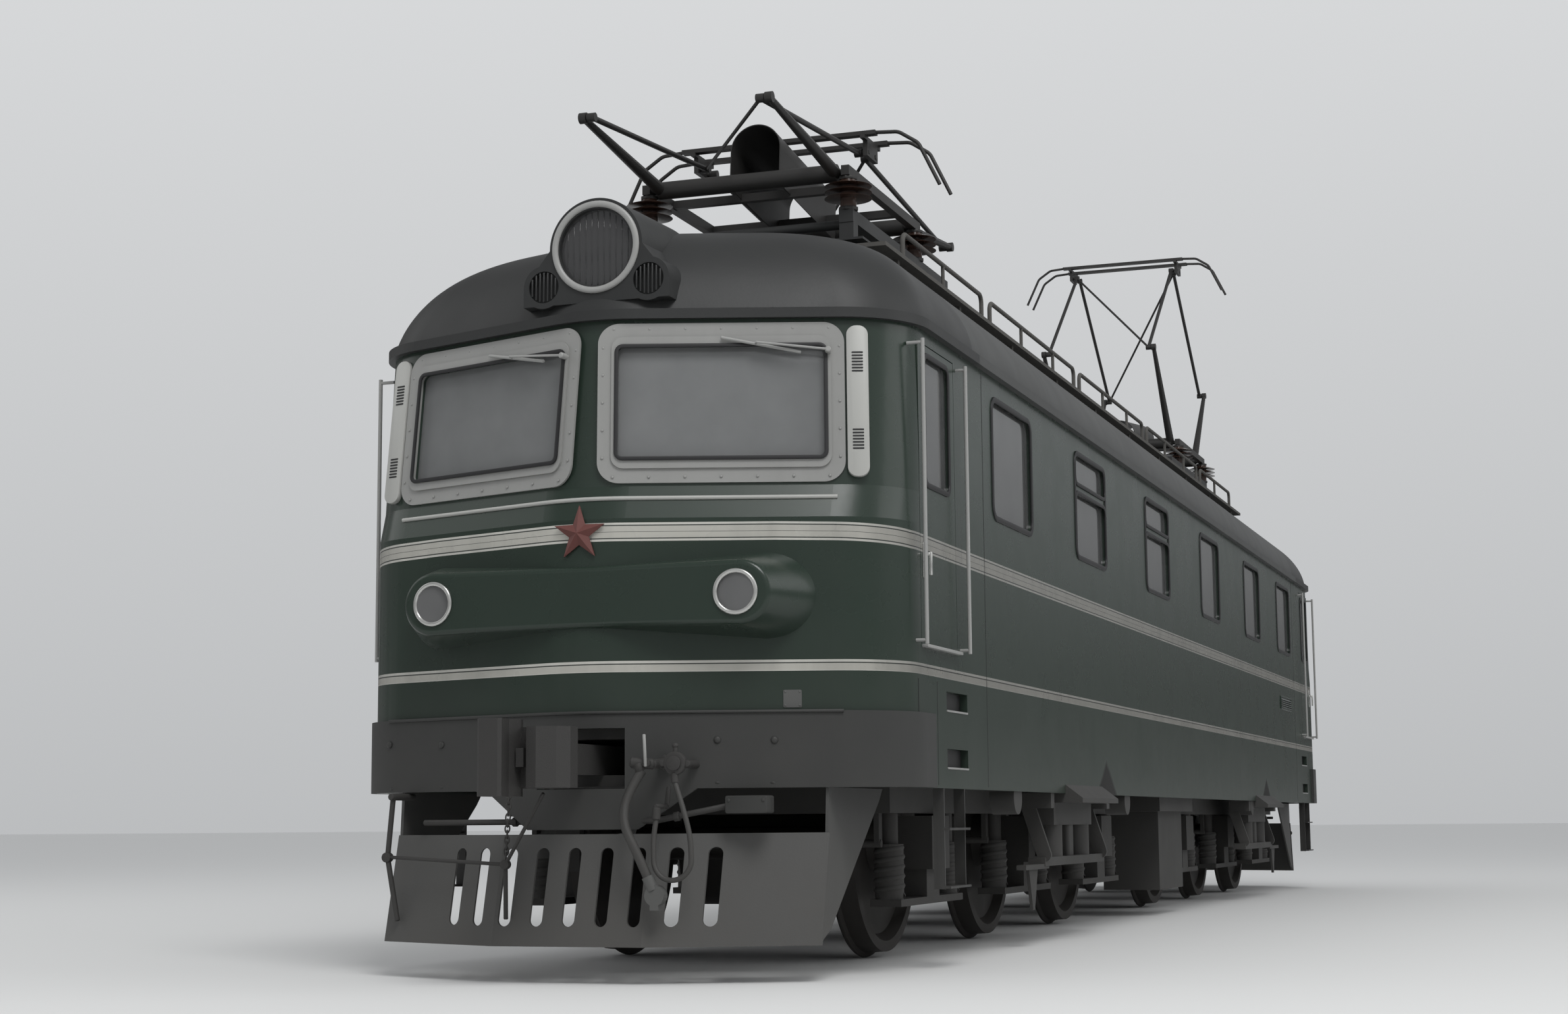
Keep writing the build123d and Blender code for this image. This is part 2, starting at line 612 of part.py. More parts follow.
for end, end_name in ((-1, "front"), (1, "rear")):
    for name, route, diameter in (("brake_hose", HOSE_ROUTE, HOSE_D), ("jumper", JUMPER_ROUTE, JUMPER_D)):
        points = [end_point(end, point) for point in route]
        radii = bend_radii(points)
        with BuildPart() as cord:
            with BuildLine() as path:
                FilletPolyline(*points, radius=radii)
            wire = path.wires()[0]
            with BuildSketch(Plane(origin=wire @ 0, z_dir=wire % 0)):
                Circle(diameter / 2)
            sweep()
        cord.part.label = f"{name}_{end_name}"
        export_step(cord.part, f"parts/{name}_{end_name}.step")
        ideal = wire.length * 3.14159265 * diameter ** 2 / 4
        print(name, end_name, "length", round(wire.length), "radii", [round(r) for r in radii],
              "volume ratio", round(cord.part.volume / ideal, 4))

# Hose heads: a ferrule and a hooked coupling head below each brake hose
FERRULE_L = 70
with BuildPart() as hose_heads:
    for end in ENDS:
        last = Vector(*end_point(end, HOSE_ROUTE[-1]))
        down = last - Vector(*end_point(end, HOSE_ROUTE[-2]))
        with BuildSketch(Plane(origin=last, z_dir=down)):
            Circle(HOSE_D / 2 + 6)
        extrude(amount=FERRULE_L)
        centre = last + down.normalized() * (FERRULE_L + 30)
        with BuildSketch(Plane(origin=centre, x_dir=(0, 0, 1), z_dir=(0, end, 0))):
            Circle(50)
            with Locations((-40, 0)):
                Rectangle(60, 44)
        extrude(amount=26, both=True)
hose_heads.part.label = "hose_heads"
export_step(hose_heads.part, "parts/hose_heads.step")

# End fittings: brake cock, jumper tap, its rest, and the uncoupling lever with its rod, link and pendant
COCK_Z = 1052
TAP_Z = 1062
REST_Z = 852
LEVER_OUT = 8620
LEVER = ((-1130, LEVER_OUT, SOLE_Z - 15), (-1162, LEVER_OUT, 600), (-1098, LEVER_OUT, 285))
LEVER_R = 13
RODS = (
    ((-1160, LEVER_OUT, 612), (-330, 8935, 578)),
    ((-20, 9160, 922), (-330, 8935, 578)),
    ((-330, 8935, 578), (-326, 8935, 310)),
)
with BuildPart() as end_fittings:
    for end in ENDS:
        cock = end_point(end, HOSE_ROUTE[0])
        tap = end_point(end, JUMPER_ROUTE[0])
        rest = end_point(end, JUMPER_ROUTE[-1])
        hose_start = Vector(*end_point(end, HOSE_ROUTE[1])) - Vector(*cock)
        with BuildSketch(Plane(origin=cock, z_dir=hose_start * -1)):
            Circle(HOSE_D / 2 + 5)
        extrude(amount=90)
        with BuildSketch(inward_plane(end, 8960)):
            with Locations((cock[0] * end - 36, COCK_Z + 64)):
                Circle(34)
        extrude(amount=300)
        with Locations((cock[0] - end * 16, end * 8925, COCK_Z + 160)):
            Box(14, 14, 150)
        with BuildSketch(inward_plane(end, 8930)):
            with Locations((end * tap[0] - 4, TAP_Z)):
                Circle(62)
        extrude(amount=330)
        tap_start = Vector(*end_point(end, JUMPER_ROUTE[1])) - Vector(*tap)
        with BuildSketch(Plane(origin=tap, z_dir=tap_start * -1)):
            Circle(JUMPER_D / 2 + 5)
        extrude(amount=85)
        rest_start = Vector(*end_point(end, JUMPER_ROUTE[-2])) - Vector(*rest)
        with BuildSketch(Plane(origin=rest, z_dir=rest_start * -1)):
            Circle(JUMPER_D / 2 + 8)
        extrude(amount=60)
        with Locations((rest[0], end * 8890, REST_Z)):
            Box(50, 140, 24)
        with BuildLine() as lever_path:
            FilletPolyline(*[end_point(end, point) for point in LEVER], radius=60)
        lever_wire = lever_path.wires()[0]
        with BuildSketch(Plane(origin=lever_wire @ 0, z_dir=lever_wire % 0)):
            Circle(LEVER_R)
        sweep(path=lever_wire)
        with Locations((-end * LEVER[0][0], end * (LEVER_OUT - 95), SOLE_Z - 15.3)):
            Box(46, 250, 30)
        for start, stop in RODS:
            run = Vector(*end_point(end, stop)) - Vector(*end_point(end, start))
            with BuildSketch(Plane(origin=end_point(end, start), z_dir=run)):
                Circle(LEVER_R - 3)
            extrude(amount=run.length)
        with BuildSketch(inward_plane(end, 8953)):
            with Locations((end * end_point(end, RODS[0][1])[0], RODS[0][1][2])):
                Circle(24)
        extrude(amount=36)
    add(body_outer, mode=Mode.SUBTRACT)
    with BuildSketch(Plane.XY.offset(SOLE_Z)):
        add(body_outline(BODY_W / 2 + BEAM_OUT, NOSE_Y + BEAM_OUT, CORNER_R + BEAM_OUT))
    extrude(amount=BEAM_TOP_Z - SOLE_Z, mode=Mode.SUBTRACT)
    add(beam_skirts.part, mode=Mode.SUBTRACT)
    add(couplers.part, mode=Mode.SUBTRACT)
end_fittings.part.label = "end_fittings"
export_step(end_fittings.part, "parts/end_fittings.step")

# Doors: inward-opening leaves with a window, hinged on the side nearer the middle
DOOR_H = DOOR_TOP_Z - DOOR_SILL_Z
for end, end_name in ((-1, "front"), (1, "rear")):
    for side, side_name in ((-1, "left"), (1, "right")):
        leaf_x = side * (BODY_W / 2 - DOOR_T / 2)
        with BuildPart() as cab_door:
            with Locations((leaf_x, end * DOOR_Y, (DOOR_SILL_Z + DOOR_TOP_Z) / 2)):
                Box(DOOR_T, DOOR_W - 2 * DOOR_GAP, DOOR_H - 2 * DOOR_GAP)
            with BuildSketch(Plane.YZ.offset(leaf_x - DOOR_T)):
                with Locations((end * DOOR_Y, DOOR_WIN_Z)):
                    RectangleRounded(DOOR_WIN_W, DOOR_WIN_H, 60)
            extrude(amount=2 * DOOR_T, mode=Mode.SUBTRACT)
            hinge_y = DOOR_Y - DOOR_W / 2 + HINGE_IN
            strap_x = (HINGE_X + BODY_W / 2 - DOOR_T) / 2
            for z in HINGE_LEVELS:
                with Locations((side * HINGE_X, end * hinge_y, z)):
                    Cylinder(KNUCKLE_R, KNUCKLE_H)
                with Locations((side * strap_x, end * (hinge_y + 30), z)):
                    Box(BODY_W / 2 - DOOR_T - HINGE_X, 42, KNUCKLE_H)
                with Locations((side * HINGE_X, end * hinge_y, z)):
                    Cylinder(HINGE_R + RUN_GAP, 2 * KNUCKLE_H, mode=Mode.SUBTRACT)
        cab_door.part.label = f"cab_door_{end_name}_{side_name}"
        export_step(cab_door.part, f"parts/cab_door_{end_name}_{side_name}.step")
        with BuildPart() as door_glass:
            with BuildSketch(Plane.YZ.offset(leaf_x - PANE_T / 2)):
                with Locations((end * DOOR_Y, DOOR_WIN_Z)):
                    RectangleRounded(DOOR_WIN_W, DOOR_WIN_H, 60)
            extrude(amount=PANE_T)
        door_glass.part.label = f"door_glass_{end_name}_{side_name}"
        export_step(door_glass.part, f"parts/door_glass_{end_name}_{side_name}.step")

# Steps and handrails beside the cab doors
HANDRAIL_R = 11
HANDRAIL_OUT = 55
HANDRAIL_L = 1590
LADDER_Y = 7325
LADDER_W = 410
LADDER_LOW_Z = 420
with BuildPart() as steps_and_handrails:
    for end in ENDS:
        for side in SIDES:
            for y in (7155, 7998):
                rail_x = side * (BODY_W / 2 + HANDRAIL_OUT)
                with BuildSketch(Plane.XY.offset(DOOR_SILL_Z)):
                    with Locations((rail_x, end * y)):
                        Circle(HANDRAIL_R)
                extrude(amount=HANDRAIL_L)
                for z in (DOOR_SILL_Z + 20, DOOR_SILL_Z + HANDRAIL_L - 20):
                    with BuildSketch(Plane.YZ.offset(rail_x)):
                        with Locations((end * y, z)):
                            Circle(HANDRAIL_R - 2)
                    extrude(amount=-side * (HANDRAIL_OUT + WALL_T / 2))
            for y in (LADDER_Y - LADDER_W / 2, LADDER_Y + LADDER_W / 2):
                with Locations((side * (BODY_W - WALL_T) / 2, end * y, (SOLE_Z + LADDER_LOW_Z) / 2)):
                    Box(WALL_T, 12, SOLE_Z - LADDER_LOW_Z)
            for z in (LADDER_LOW_Z + 9, 732):
                with Locations((side * 1520, end * LADDER_Y, z)):
                    Box(80, LADDER_W, 12)
    add(body_outer, mode=Mode.SUBTRACT)
steps_and_handrails.part.label = "steps_and_handrails"
export_step(steps_and_handrails.part, "parts/steps_and_handrails.step")

# Side brackets: hood, spring pack, slanted hanging links and lower beam of the body springing beside each bogie
PACK_X = 1375
PACK_W = 150
PACK_HALF = 560
PACK_LOW_Z = 745
COIL_R = 88
COIL_Y = 400
BEAM_X = 1410
BEAM_W = 110
LOW_BEAM_Z = 545
LOW_BEAM_H = 55
HANG_Y = 840
HANG_R = 45
HANG_TOP = (1350, 870)
HANG_LOW = (1450, 560)
GUARD_LOW_Z = 230
with BuildPart() as side_brackets:
    for end in ENDS:
        for side in SIDES:
            with BuildSketch(Plane.XZ.offset(-end * PIVOT_Y - PACK_HALF)):
                with BuildLine():
                    Polyline((side * 1400, SOLE_Z - 60), (side * 1640, SOLE_Z - 60), (side * 1640, SOLE_Z - 30),
                             (side * 1530, SOLE_Z + 55), (side * 1530, SOLE_Z), (side * 1400, SOLE_Z), close=True)
                make_face()
            extrude(amount=2 * PACK_HALF)
            with Locations((side * PACK_X, end * PIVOT_Y, (SOLE_Z - 60 + PACK_LOW_Z) / 2)):
                Box(PACK_W, 2 * PACK_HALF, SOLE_Z - 60 - PACK_LOW_Z)
            with BuildSketch(Plane.XY.offset(LOW_BEAM_Z)):
                with Locations(*[(side * PACK_X, end * PIVOT_Y + along) for along in (-COIL_Y, COIL_Y)]):
                    Circle(COIL_R)
                with Locations((side * PACK_X, end * PIVOT_Y)):
                    RectangleRounded(120, 150, 25)
            extrude(amount=PACK_LOW_Z - LOW_BEAM_Z)
            with Locations((side * BEAM_X, end * PIVOT_Y, LOW_BEAM_Z - LOW_BEAM_H / 2)):
                Box(BEAM_W, 2 * (HANG_Y + HANG_R), LOW_BEAM_H)
            for along in (-HANG_Y, HANG_Y):
                top = Vector(side * HANG_TOP[0], end * PIVOT_Y + along, HANG_TOP[1])
                low = Vector(side * HANG_LOW[0], end * PIVOT_Y + along, HANG_LOW[1])
                with BuildSketch(Plane(origin=(top + low) / 2, x_dir=low - top, z_dir=(0, 1, 0))):
                    SlotCenterToCenter((low - top).length, 2 * HANG_R)
                extrude(amount=15, both=True)
                with Locations((side * (HANG_TOP[0] + 65), end * PIVOT_Y + along, (SOLE_Z + HANG_TOP[1] - 20) / 2)):
                    Box(190, 90, SOLE_Z - HANG_TOP[1] + 20)
            with Locations((side * 1430, end * (PIVOT_Y + HANG_Y + 225), LOW_BEAM_Z - LOW_BEAM_H)):
                Box(60, 610, 30)
            with BuildSketch(Plane.YZ.offset(side * 1430 - 10)):
                with BuildLine():
                    Polyline(*[(end * (PIVOT_Y + along), z) for along, z in (
                        (980, LOW_BEAM_Z - LOW_BEAM_H), (1220, LOW_BEAM_Z - LOW_BEAM_H), (1125, GUARD_LOW_Z),
                        (1080, GUARD_LOW_Z))], close=True)
                make_face()
            extrude(amount=20)
side_brackets.part.label = "side_brackets"
export_step(side_brackets.part, "parts/side_brackets.step")

# Underfloor boxes between the bogies: battery boxes, air reservoirs and the round bottoms of the sand boxes
SAND_R = 100
with BuildPart() as underfloor_boxes:
    for side in SIDES:
        with Locations((side * 1120, 0, 1200)):
            Box(560, 1500, 720)
        with Locations((side * 1070, 225, 525)):
            Box(460, 1050, 630)
        for y in (-5840, -2580, 3425):
            with BuildSketch(Plane.YZ.offset(side * 1435 - 75)):
                with Locations((y, SOLE_Z - 35)):
                    Circle(SAND_R)
                with Locations((y, SOLE_Z + SAND_R)):
                    Rectangle(2 * SAND_R, 2 * SAND_R, mode=Mode.SUBTRACT)
            extrude(amount=150)
    for x in (-350, 350):
        with BuildSketch(Plane.XZ.offset(-800)):
            with Locations((x, 1100)):
                Circle(200)
        extrude(amount=1600)
        for y in (-500, 500):
            with Locations((x, y, FLOOR_Z - FLOOR_T - 155)):
                Box(60, 60, 310)
underfloor_boxes.part.label = "underfloor_boxes"
export_step(underfloor_boxes.part, "parts/underfloor_boxes.step")

# Bogies: frame, axlebox units, motors, brake gear and wheelsets
for end, end_name in ((-1, "front"), (1, "rear")):
    centre_y = end * PIVOT_Y
    axles = [centre_y - AXLE_PITCH, centre_y, centre_y + AXLE_PITCH]
    frame_h = SIDE_TOP_Z - SIDE_LOW_Z
    frame_mid = (SIDE_TOP_Z + SIDE_LOW_Z) / 2
    with BuildPart() as bogie_frame:
        with Locations(*[(side * SIDE_X, centre_y, frame_mid) for side in SIDES]):
            Box(SIDE_W, 2 * BOGIE_HALF, frame_h)
        with Locations(*[(0, centre_y + e * (BOGIE_HALF - 60), frame_mid) for e in ENDS]):
            Box(2 * SIDE_X, 120, frame_h)
        with Locations(*[(0, centre_y + e * TRANSOM_Y, frame_mid) for e in ENDS]):
            Box(2 * SIDE_X, TRANSOM_W, frame_h)
        with Locations((0, centre_y, SIDE_TOP_Z - 30)):
            Box(700, 2 * TRANSOM_Y, 60)
        with Locations((0, centre_y, SIDE_TOP_Z - 30)):
            Cylinder(PIN_R + RUN_GAP, 80, mode=Mode.SUBTRACT)
    bogie_frame.part.label = f"bogie_frame_{end_name}"
    export_step(bogie_frame.part, f"parts/bogie_frame_{end_name}.step")

    with BuildPart() as axleboxes:
        for y in axles:
            for side in SIDES:
                with Locations((side * 1060, y, AXLE_Z)):
                    Box(260, 360, 300)
                with Locations((side * SIDE_X, y, (AXLE_Z + SEAT_Z - SEAT_T) / 2)):
                    Box(180, 260, AXLE_Z - SEAT_Z + SEAT_T)
                with Locations((side * SIDE_X, y, SEAT_Z - SEAT_T / 2)):
                    Box(180, 2 * (SPRING_Y + SPRING_R), SEAT_T)
                for low_z, high_z, radius in ((SEAT_Z, SPRING_TOP_Z, SPRING_R), (SPRING_TOP_Z, SIDE_LOW_Z, 50)):
                    with BuildSketch(Plane.XY.offset(low_z)):
                        with Locations(*[(side * SIDE_X, y + along) for along in (-SPRING_Y, SPRING_Y)]):
                            Circle(radius)
                    extrude(amount=high_z - low_z)
            with BuildSketch(Plane.YZ.offset(-1150 - 1)):
                with Locations((y, AXLE_Z)):
                    Circle(JOURNAL_R + RUN_GAP)
            extrude(amount=2302, mode=Mode.SUBTRACT)
    axleboxes.part.label = f"axleboxes_{end_name}"
    export_step(axleboxes.part, f"parts/axleboxes_{end_name}.step")

    with BuildPart() as traction_motors:
        for axle_y, off, lug in ((axles[0], MOTOR_OFF, 1), (axles[1], MOTOR_OFF, 1), (axles[2], -MOTOR_OFF, -1)):
            with BuildSketch(Plane.YZ.offset(-MOTOR_L / 2)):
                with Locations((axle_y + off, MOTOR_Z)):
                    Circle(MOTOR_R)
            extrude(amount=MOTOR_L)
        for axle_y, e in ((centre_y - TRANSOM_Y, -1), (centre_y + TRANSOM_Y, 1), (centre_y + TRANSOM_Y, -1)):
            with Locations((0, axle_y + e * (TRANSOM_W + MOTOR_LUG) / 2, SIDE_LOW_Z + 45)):
                Box(400, MOTOR_LUG, 90)
    traction_motors.part.label = f"traction_motors_{end_name}"
    export_step(traction_motors.part, f"parts/traction_motors_{end_name}.step")

    with BuildPart() as brake_gear:
        for axle_y, e in ((axles[0], -1), (axles[1], -1), (axles[2], 1)):
            bar_y = axle_y + e * (FLANGE_R + 45)
            with BuildSketch(Plane.YZ.offset(-SIDE_X)):
                with Locations((bar_y, AXLE_Z)):
                    Circle(22)
            extrude(amount=2 * SIDE_X)
            for side in SIDES:
                with Locations((side * (WHEEL_IN_X + 70), bar_y, AXLE_Z)):
                    Box(90, 60, 300)
                with Locations((side * (SIDE_X - 20), bar_y, (AXLE_Z + SIDE_LOW_Z) / 2)):
                    Box(30, 60, SIDE_LOW_Z - AXLE_Z)
    brake_gear.part.label = f"brake_gear_{end_name}"
    export_step(brake_gear.part, f"parts/brake_gear_{end_name}.step")

    for index, y in enumerate(axles):
        number = index + 1 if end < 0 else index + 4
        with BuildPart() as wheelset:
            with BuildSketch(Plane.XY.offset(AXLE_Z)):
                with BuildLine():
                    Polyline((0, y), (0, y + AXLE_R), (WHEEL_IN_X - 20, y + AXLE_R), (WHEEL_IN_X - 20, y + 150),
                             (WHEEL_IN_X + 40, y + 180), (WHEEL_IN_X + 50, y + 520), (WHEEL_IN_X, y + 560),
                             (WHEEL_IN_X, y + FLANGE_R - 8), (WHEEL_IN_X + 12, y + FLANGE_R),
                             (WHEEL_IN_X + 22, y + FLANGE_R - 4), (WHEEL_IN_X + 34, y + WHEEL_R + 3),
                             (WHEEL_IN_X + WHEEL_W, y + WHEEL_R - 5), (WHEEL_IN_X + WHEEL_W, y + 560),
                             (WHEEL_IN_X + 85, y + 520), (WHEEL_IN_X + 75, y + 180),
                             (WHEEL_IN_X + WHEEL_W, y + 150), (WHEEL_IN_X + WHEEL_W, y + JOURNAL_R),
                             (1150, y + JOURNAL_R), (1150, y), close=True)
                make_face()
            revolve(axis=Axis((0, y, AXLE_Z), (1, 0, 0)))
            mirror(about=Plane.YZ)
        wheelset.part.label = f"wheelset_{number}"
        export_step(wheelset.part, f"parts/wheelset_{number}.step")

# Roof equipment: walkways, insulators, mounts, hoods and bus bars
DECK_Z = 4120
DECK_X = 860
DECK_W = 280
DECK_HALF = 6700
RAIL_X = 955
RAIL_TOP_Z = 4300
RAIL_R = 15
RAIL_RUNS = ((-6200, -4340), (-4120, -1500), (-1300, 1300), (1500, 4120), (4340, 6200))
with BuildPart() as roof_walkways:
    for side in SIDES:
        with Locations((side * DECK_X, 0, DECK_Z)):
            Box(DECK_W, 2 * DECK_HALF, 25)
        for y in range(-6300, 6301, 1400):
            with Locations((side * DECK_X, y, DECK_Z - 120)):
                Box(DECK_W - 80, 40, 240)
    add(roof_outer, mode=Mode.SUBTRACT)
    for side in SIDES:
        for start_y, stop_y in RAIL_RUNS:
            with BuildLine() as rail_path:
                FilletPolyline(
                    (side * RAIL_X, start_y, DECK_Z), (side * RAIL_X, start_y, RAIL_TOP_Z),
                    (side * RAIL_X, stop_y, RAIL_TOP_Z), (side * RAIL_X, stop_y, DECK_Z), radius=60)
            rail_wire = rail_path.wires()[0]
            with BuildSketch(Plane(origin=rail_wire @ 0, z_dir=rail_wire % 0)):
                Circle(RAIL_R)
            sweep(path=rail_wire)
            for y in range(int(start_y) + 900, int(stop_y) - 400, 1000):
                with BuildSketch(Plane.XY.offset(DECK_Z)):
                    with Locations((side * RAIL_X, y)):
                        Circle(RAIL_R - 3)
                extrude(amount=RAIL_TOP_Z - DECK_Z)
roof_walkways.part.label = "roof_walkways"
export_step(roof_walkways.part, "parts/roof_walkways.step")

MOUNT_X = 650
MOUNT_W = 90
MOUNT_TOP_Z = 4440
HOOD_W = 1000
HOOD_HALF = 2100
HOOD_TOP_Z = 4330
STEP_Z = 4235
CONDUIT_Z = 4385
CONDUIT_R = 30
with BuildPart() as roof_equipment:
    for end in ENDS:
        for side in SIDES:
            with Locations((side * MOUNT_X, end * (PANTO_Y - 300), MOUNT_TOP_Z - 40)):
                Box(MOUNT_W, 2 * BASE_HALF + 700, 80)
            for along in (-BASE_HALF, BASE_HALF):
                with Locations((side * MOUNT_X, end * PANTO_Y + along, (MOUNT_TOP_Z + 3960) / 2)):
                    Box(MOUNT_W, MOUNT_W, MOUNT_TOP_Z - 3960)
                with Locations((side * MOUNT_X, end * PANTO_Y + along, STEP_Z)):
                    Box(260, 260, 14)
        with BuildSketch(Plane.YZ.offset(-MOUNT_X)):
            with Locations((end * (PANTO_Y + BASE_HALF) - end * 110, CONDUIT_Z)):
                Circle(CONDUIT_R)
        extrude(amount=2 * MOUNT_X)
        with Locations(*[(0, end * (PANTO_Y + along), STEP_Z - 37) for along in (BASE_HALF - 150, 150 - BASE_HALF)]):
            Box(1500, 180, 60)
    with BuildSketch(Plane.XZ.offset(-HOOD_HALF)):
        with Locations((0, (HOOD_TOP_Z + 4000) / 2)):
            hood = Trapezoid(HOOD_W, HOOD_TOP_Z - 4000, 75)
        fillet(hood.vertices().group_by(Axis.Y)[-1], 60)
    extrude(amount=2 * HOOD_HALF)
    add(roof_outer, mode=Mode.SUBTRACT)
roof_equipment.part.label = "roof_equipment"
export_step(roof_equipment.part, "parts/roof_equipment.step")

with BuildPart() as roof_insulators:
    for end in ENDS:
        for side in SIDES:
            for along in (-BASE_HALF, BASE_HALF):
                with BuildSketch(Plane.XY.offset(4440)):
                    with Locations((side * MOUNT_X, end * PANTO_Y + along)):
                        Circle(INSULATOR_R)
                extrude(amount=210)
                for z in (4490, 4580):
                    with BuildSketch(Plane.XY.offset(z)):
                        with Locations((side * MOUNT_X, end * PANTO_Y + along)):
                            Circle(150)
                    extrude(amount=25)
roof_insulators.part.label = "roof_insulators"
export_step(roof_insulators.part, "parts/roof_insulators.step")

COWL_FALL = 6
COWL_OUT = 560
COWL_Z = 4930
COWL_R = 165
COWL_T = 6
COWL_DROP = 240
COWL_L = 1100
with BuildPart() as pantograph_bases:
    for end in ENDS:
        for side in SIDES:
            with Locations((side * MOUNT_X, end * PANTO_Y, PIVOT_Z)):
                Box(50, 2 * BASE_HALF + 120, 60)
        with Locations(*[(0, end * PANTO_Y + along, PIVOT_Z) for along in (-350, 350)]):
            Box(2 * MOUNT_X, 50, 50)
        cowl_axis = Vector(0, -end * cos(radians(COWL_FALL)), -sin(radians(COWL_FALL)))
        cowl = Plane(origin=(0, end * (PANTO_Y + COWL_OUT), COWL_Z), x_dir=(end, 0, 0), z_dir=cowl_axis)
        with BuildSketch(cowl):
            Circle(COWL_R)
            with Locations((0, -COWL_DROP / 2)):
                Rectangle(2 * COWL_R, COWL_DROP)
            Circle(COWL_R - COWL_T, mode=Mode.SUBTRACT)
            with Locations((0, -COWL_DROP / 2)):
                Rectangle(2 * COWL_R - 2 * COWL_T, COWL_DROP, mode=Mode.SUBTRACT)
        extrude(amount=COWL_L)
        for along in (-BASE_HALF, BASE_HALF):
            with BuildSketch(Plane.YZ.offset(-MOUNT_X - 40)):
                with Locations((end * PANTO_Y + along, PIVOT_Z)):
                    Circle(22 + RUN_GAP)
            extrude(amount=2 * MOUNT_X + 80, mode=Mode.SUBTRACT)
pantograph_bases.part.label = "pantograph_bases"
export_step(pantograph_bases.part, "parts/pantograph_bases.step")


def upper_angle(lower_deg):
    """Rise of the upper arm, in degrees, that closes the linkage over the base's middle."""
    reach = BASE_HALF - HEAD_HALF + LOWER_L * cos(radians(lower_deg))
    return degrees(acos(reach / UPPER_L))


# Pantographs: the front one folded, the rear one raised
for end, end_name, lower_deg in ((-1, "front", FOLDED_DEG), (1, "rear", RAISED_DEG)):
    middle_y = end * PANTO_Y
    rise = upper_angle(lower_deg)
    knee_out = BASE_HALF + LOWER_L * cos(radians(lower_deg))
    knee_z = PIVOT_Z + LOWER_L * sin(radians(lower_deg))
    apex_z = knee_z + UPPER_L * sin(radians(rise))
    for half, half_name in ((-1, "front"), (1, "rear")):
        base_y = middle_y + half * BASE_HALF
        knee_y = middle_y + half * knee_out
        apex_y = middle_y + half * HEAD_HALF
        arm_dir = Vector(0, half * cos(radians(lower_deg)), sin(radians(lower_deg)))
        with BuildPart() as lower_arm:
            with BuildSketch(Plane.YZ.offset(-ARM_X - 14)):
                with Locations((base_y, PIVOT_Z)):
                    Circle(SHAFT_R)
            extrude(amount=2 * ARM_X + 28)
            with BuildSketch(Plane.YZ.offset(-MOUNT_X - 25)):
                with Locations((base_y, PIVOT_Z)):
                    Circle(22)
            extrude(amount=2 * MOUNT_X + 50)
            for side in SIDES:
                root = Plane(origin=(side * ARM_X, base_y, PIVOT_Z), x_dir=(1, 0, 0), z_dir=arm_dir)
                with BuildSketch(root):
                    Circle(40)
                with BuildSketch(root.offset(LOWER_L)):
                    Circle(20)
                loft()
                with BuildSketch(Plane.YZ.offset(side * ARM_X - 22)):
                    with Locations((knee_y, knee_z)):
                        Circle(32)
                extrude(amount=44)
                with BuildSketch(Plane.YZ.offset(side * ARM_X - 30)):
                    with Locations((knee_y, knee_z)):
                        Circle(14 + RUN_GAP)
                extrude(amount=60, mode=Mode.SUBTRACT)
        lower_arm.part.label = f"panto_{end_name}_lower_{half_name}"
        export_step(lower_arm.part, f"parts/panto_{end_name}_lower_{half_name}.step")

        with BuildPart() as upper_arm:
            for side in SIDES:
                tube = Vector(0, apex_y - knee_y, apex_z - knee_z)
                with BuildSketch(Plane(origin=(side * TUBE_X, knee_y, knee_z), x_dir=(1, 0, 0), z_dir=tube)):
                    Circle(17)
                extrude(amount=UPPER_L)
                for y, z in ((knee_y, knee_z), (apex_y, apex_z)):
                    with BuildSketch(Plane.YZ.offset(side * TUBE_X - 25)):
                        with Locations((y, z)):
                            Circle(26)
                    extrude(amount=50)
                    low_x = min(side * TUBE_X, side * (ARM_X + 22))
                    with BuildSketch(Plane.YZ.offset(low_x)):
                        with Locations((y, z)):
                            Circle(14)
                    extrude(amount=ARM_X + 22 - TUBE_X)
            brace = Vector(2 * half * TUBE_X, apex_y - knee_y, apex_z - knee_z)
            with BuildSketch(Plane(origin=(-half * TUBE_X, knee_y, knee_z), z_dir=brace)):
                Circle(11)
            extrude(amount=brace.length)
        upper_arm.part.label = f"panto_{end_name}_upper_{half_name}"
        export_step(upper_arm.part, f"parts/panto_{end_name}_upper_{half_name}.step")

    with BuildPart() as panto_head:
        for side in SIDES:
            with Locations((side * (ARM_X + 4), middle_y, apex_z + 20)):
                Box(30, 2 * HEAD_HALF + 80, 100)
            with Locations((side * (ARM_X + 4), middle_y, apex_z + 80)):
                Box(30, 340, 24)
        for y in (middle_y - 130, middle_y + 130):
            with Locations((0, y, apex_z + 104)):
                Box(1310, 60, 26)
            for side in SIDES:
                with BuildLine() as horn_path:
                    FilletPolyline(
                        (side * 650, y, apex_z + 106), (side * 800, y, apex_z + 96),
                        (side * 930, y, apex_z + 10), (side * 1064, y, apex_z - 270), radius=90)
                with BuildSketch(Plane(origin=horn_path.line @ 0, z_dir=horn_path.line % 0)):
                    Circle(12)
                sweep()
        with BuildSketch(Plane.YZ.offset(-ARM_X - 60)):
            with Locations((middle_y - HEAD_HALF, apex_z)):
                Circle(14 + RUN_GAP)
            with Locations((middle_y + HEAD_HALF, apex_z)):
                SlotCenterToCenter(OPEN_PIN_SLOT, 28 + 2 * RUN_GAP)
        extrude(amount=2 * ARM_X + 120, mode=Mode.SUBTRACT)
    panto_head.part.label = f"panto_{end_name}_head"
    export_step(panto_head.part, f"parts/panto_{end_name}_head.step")
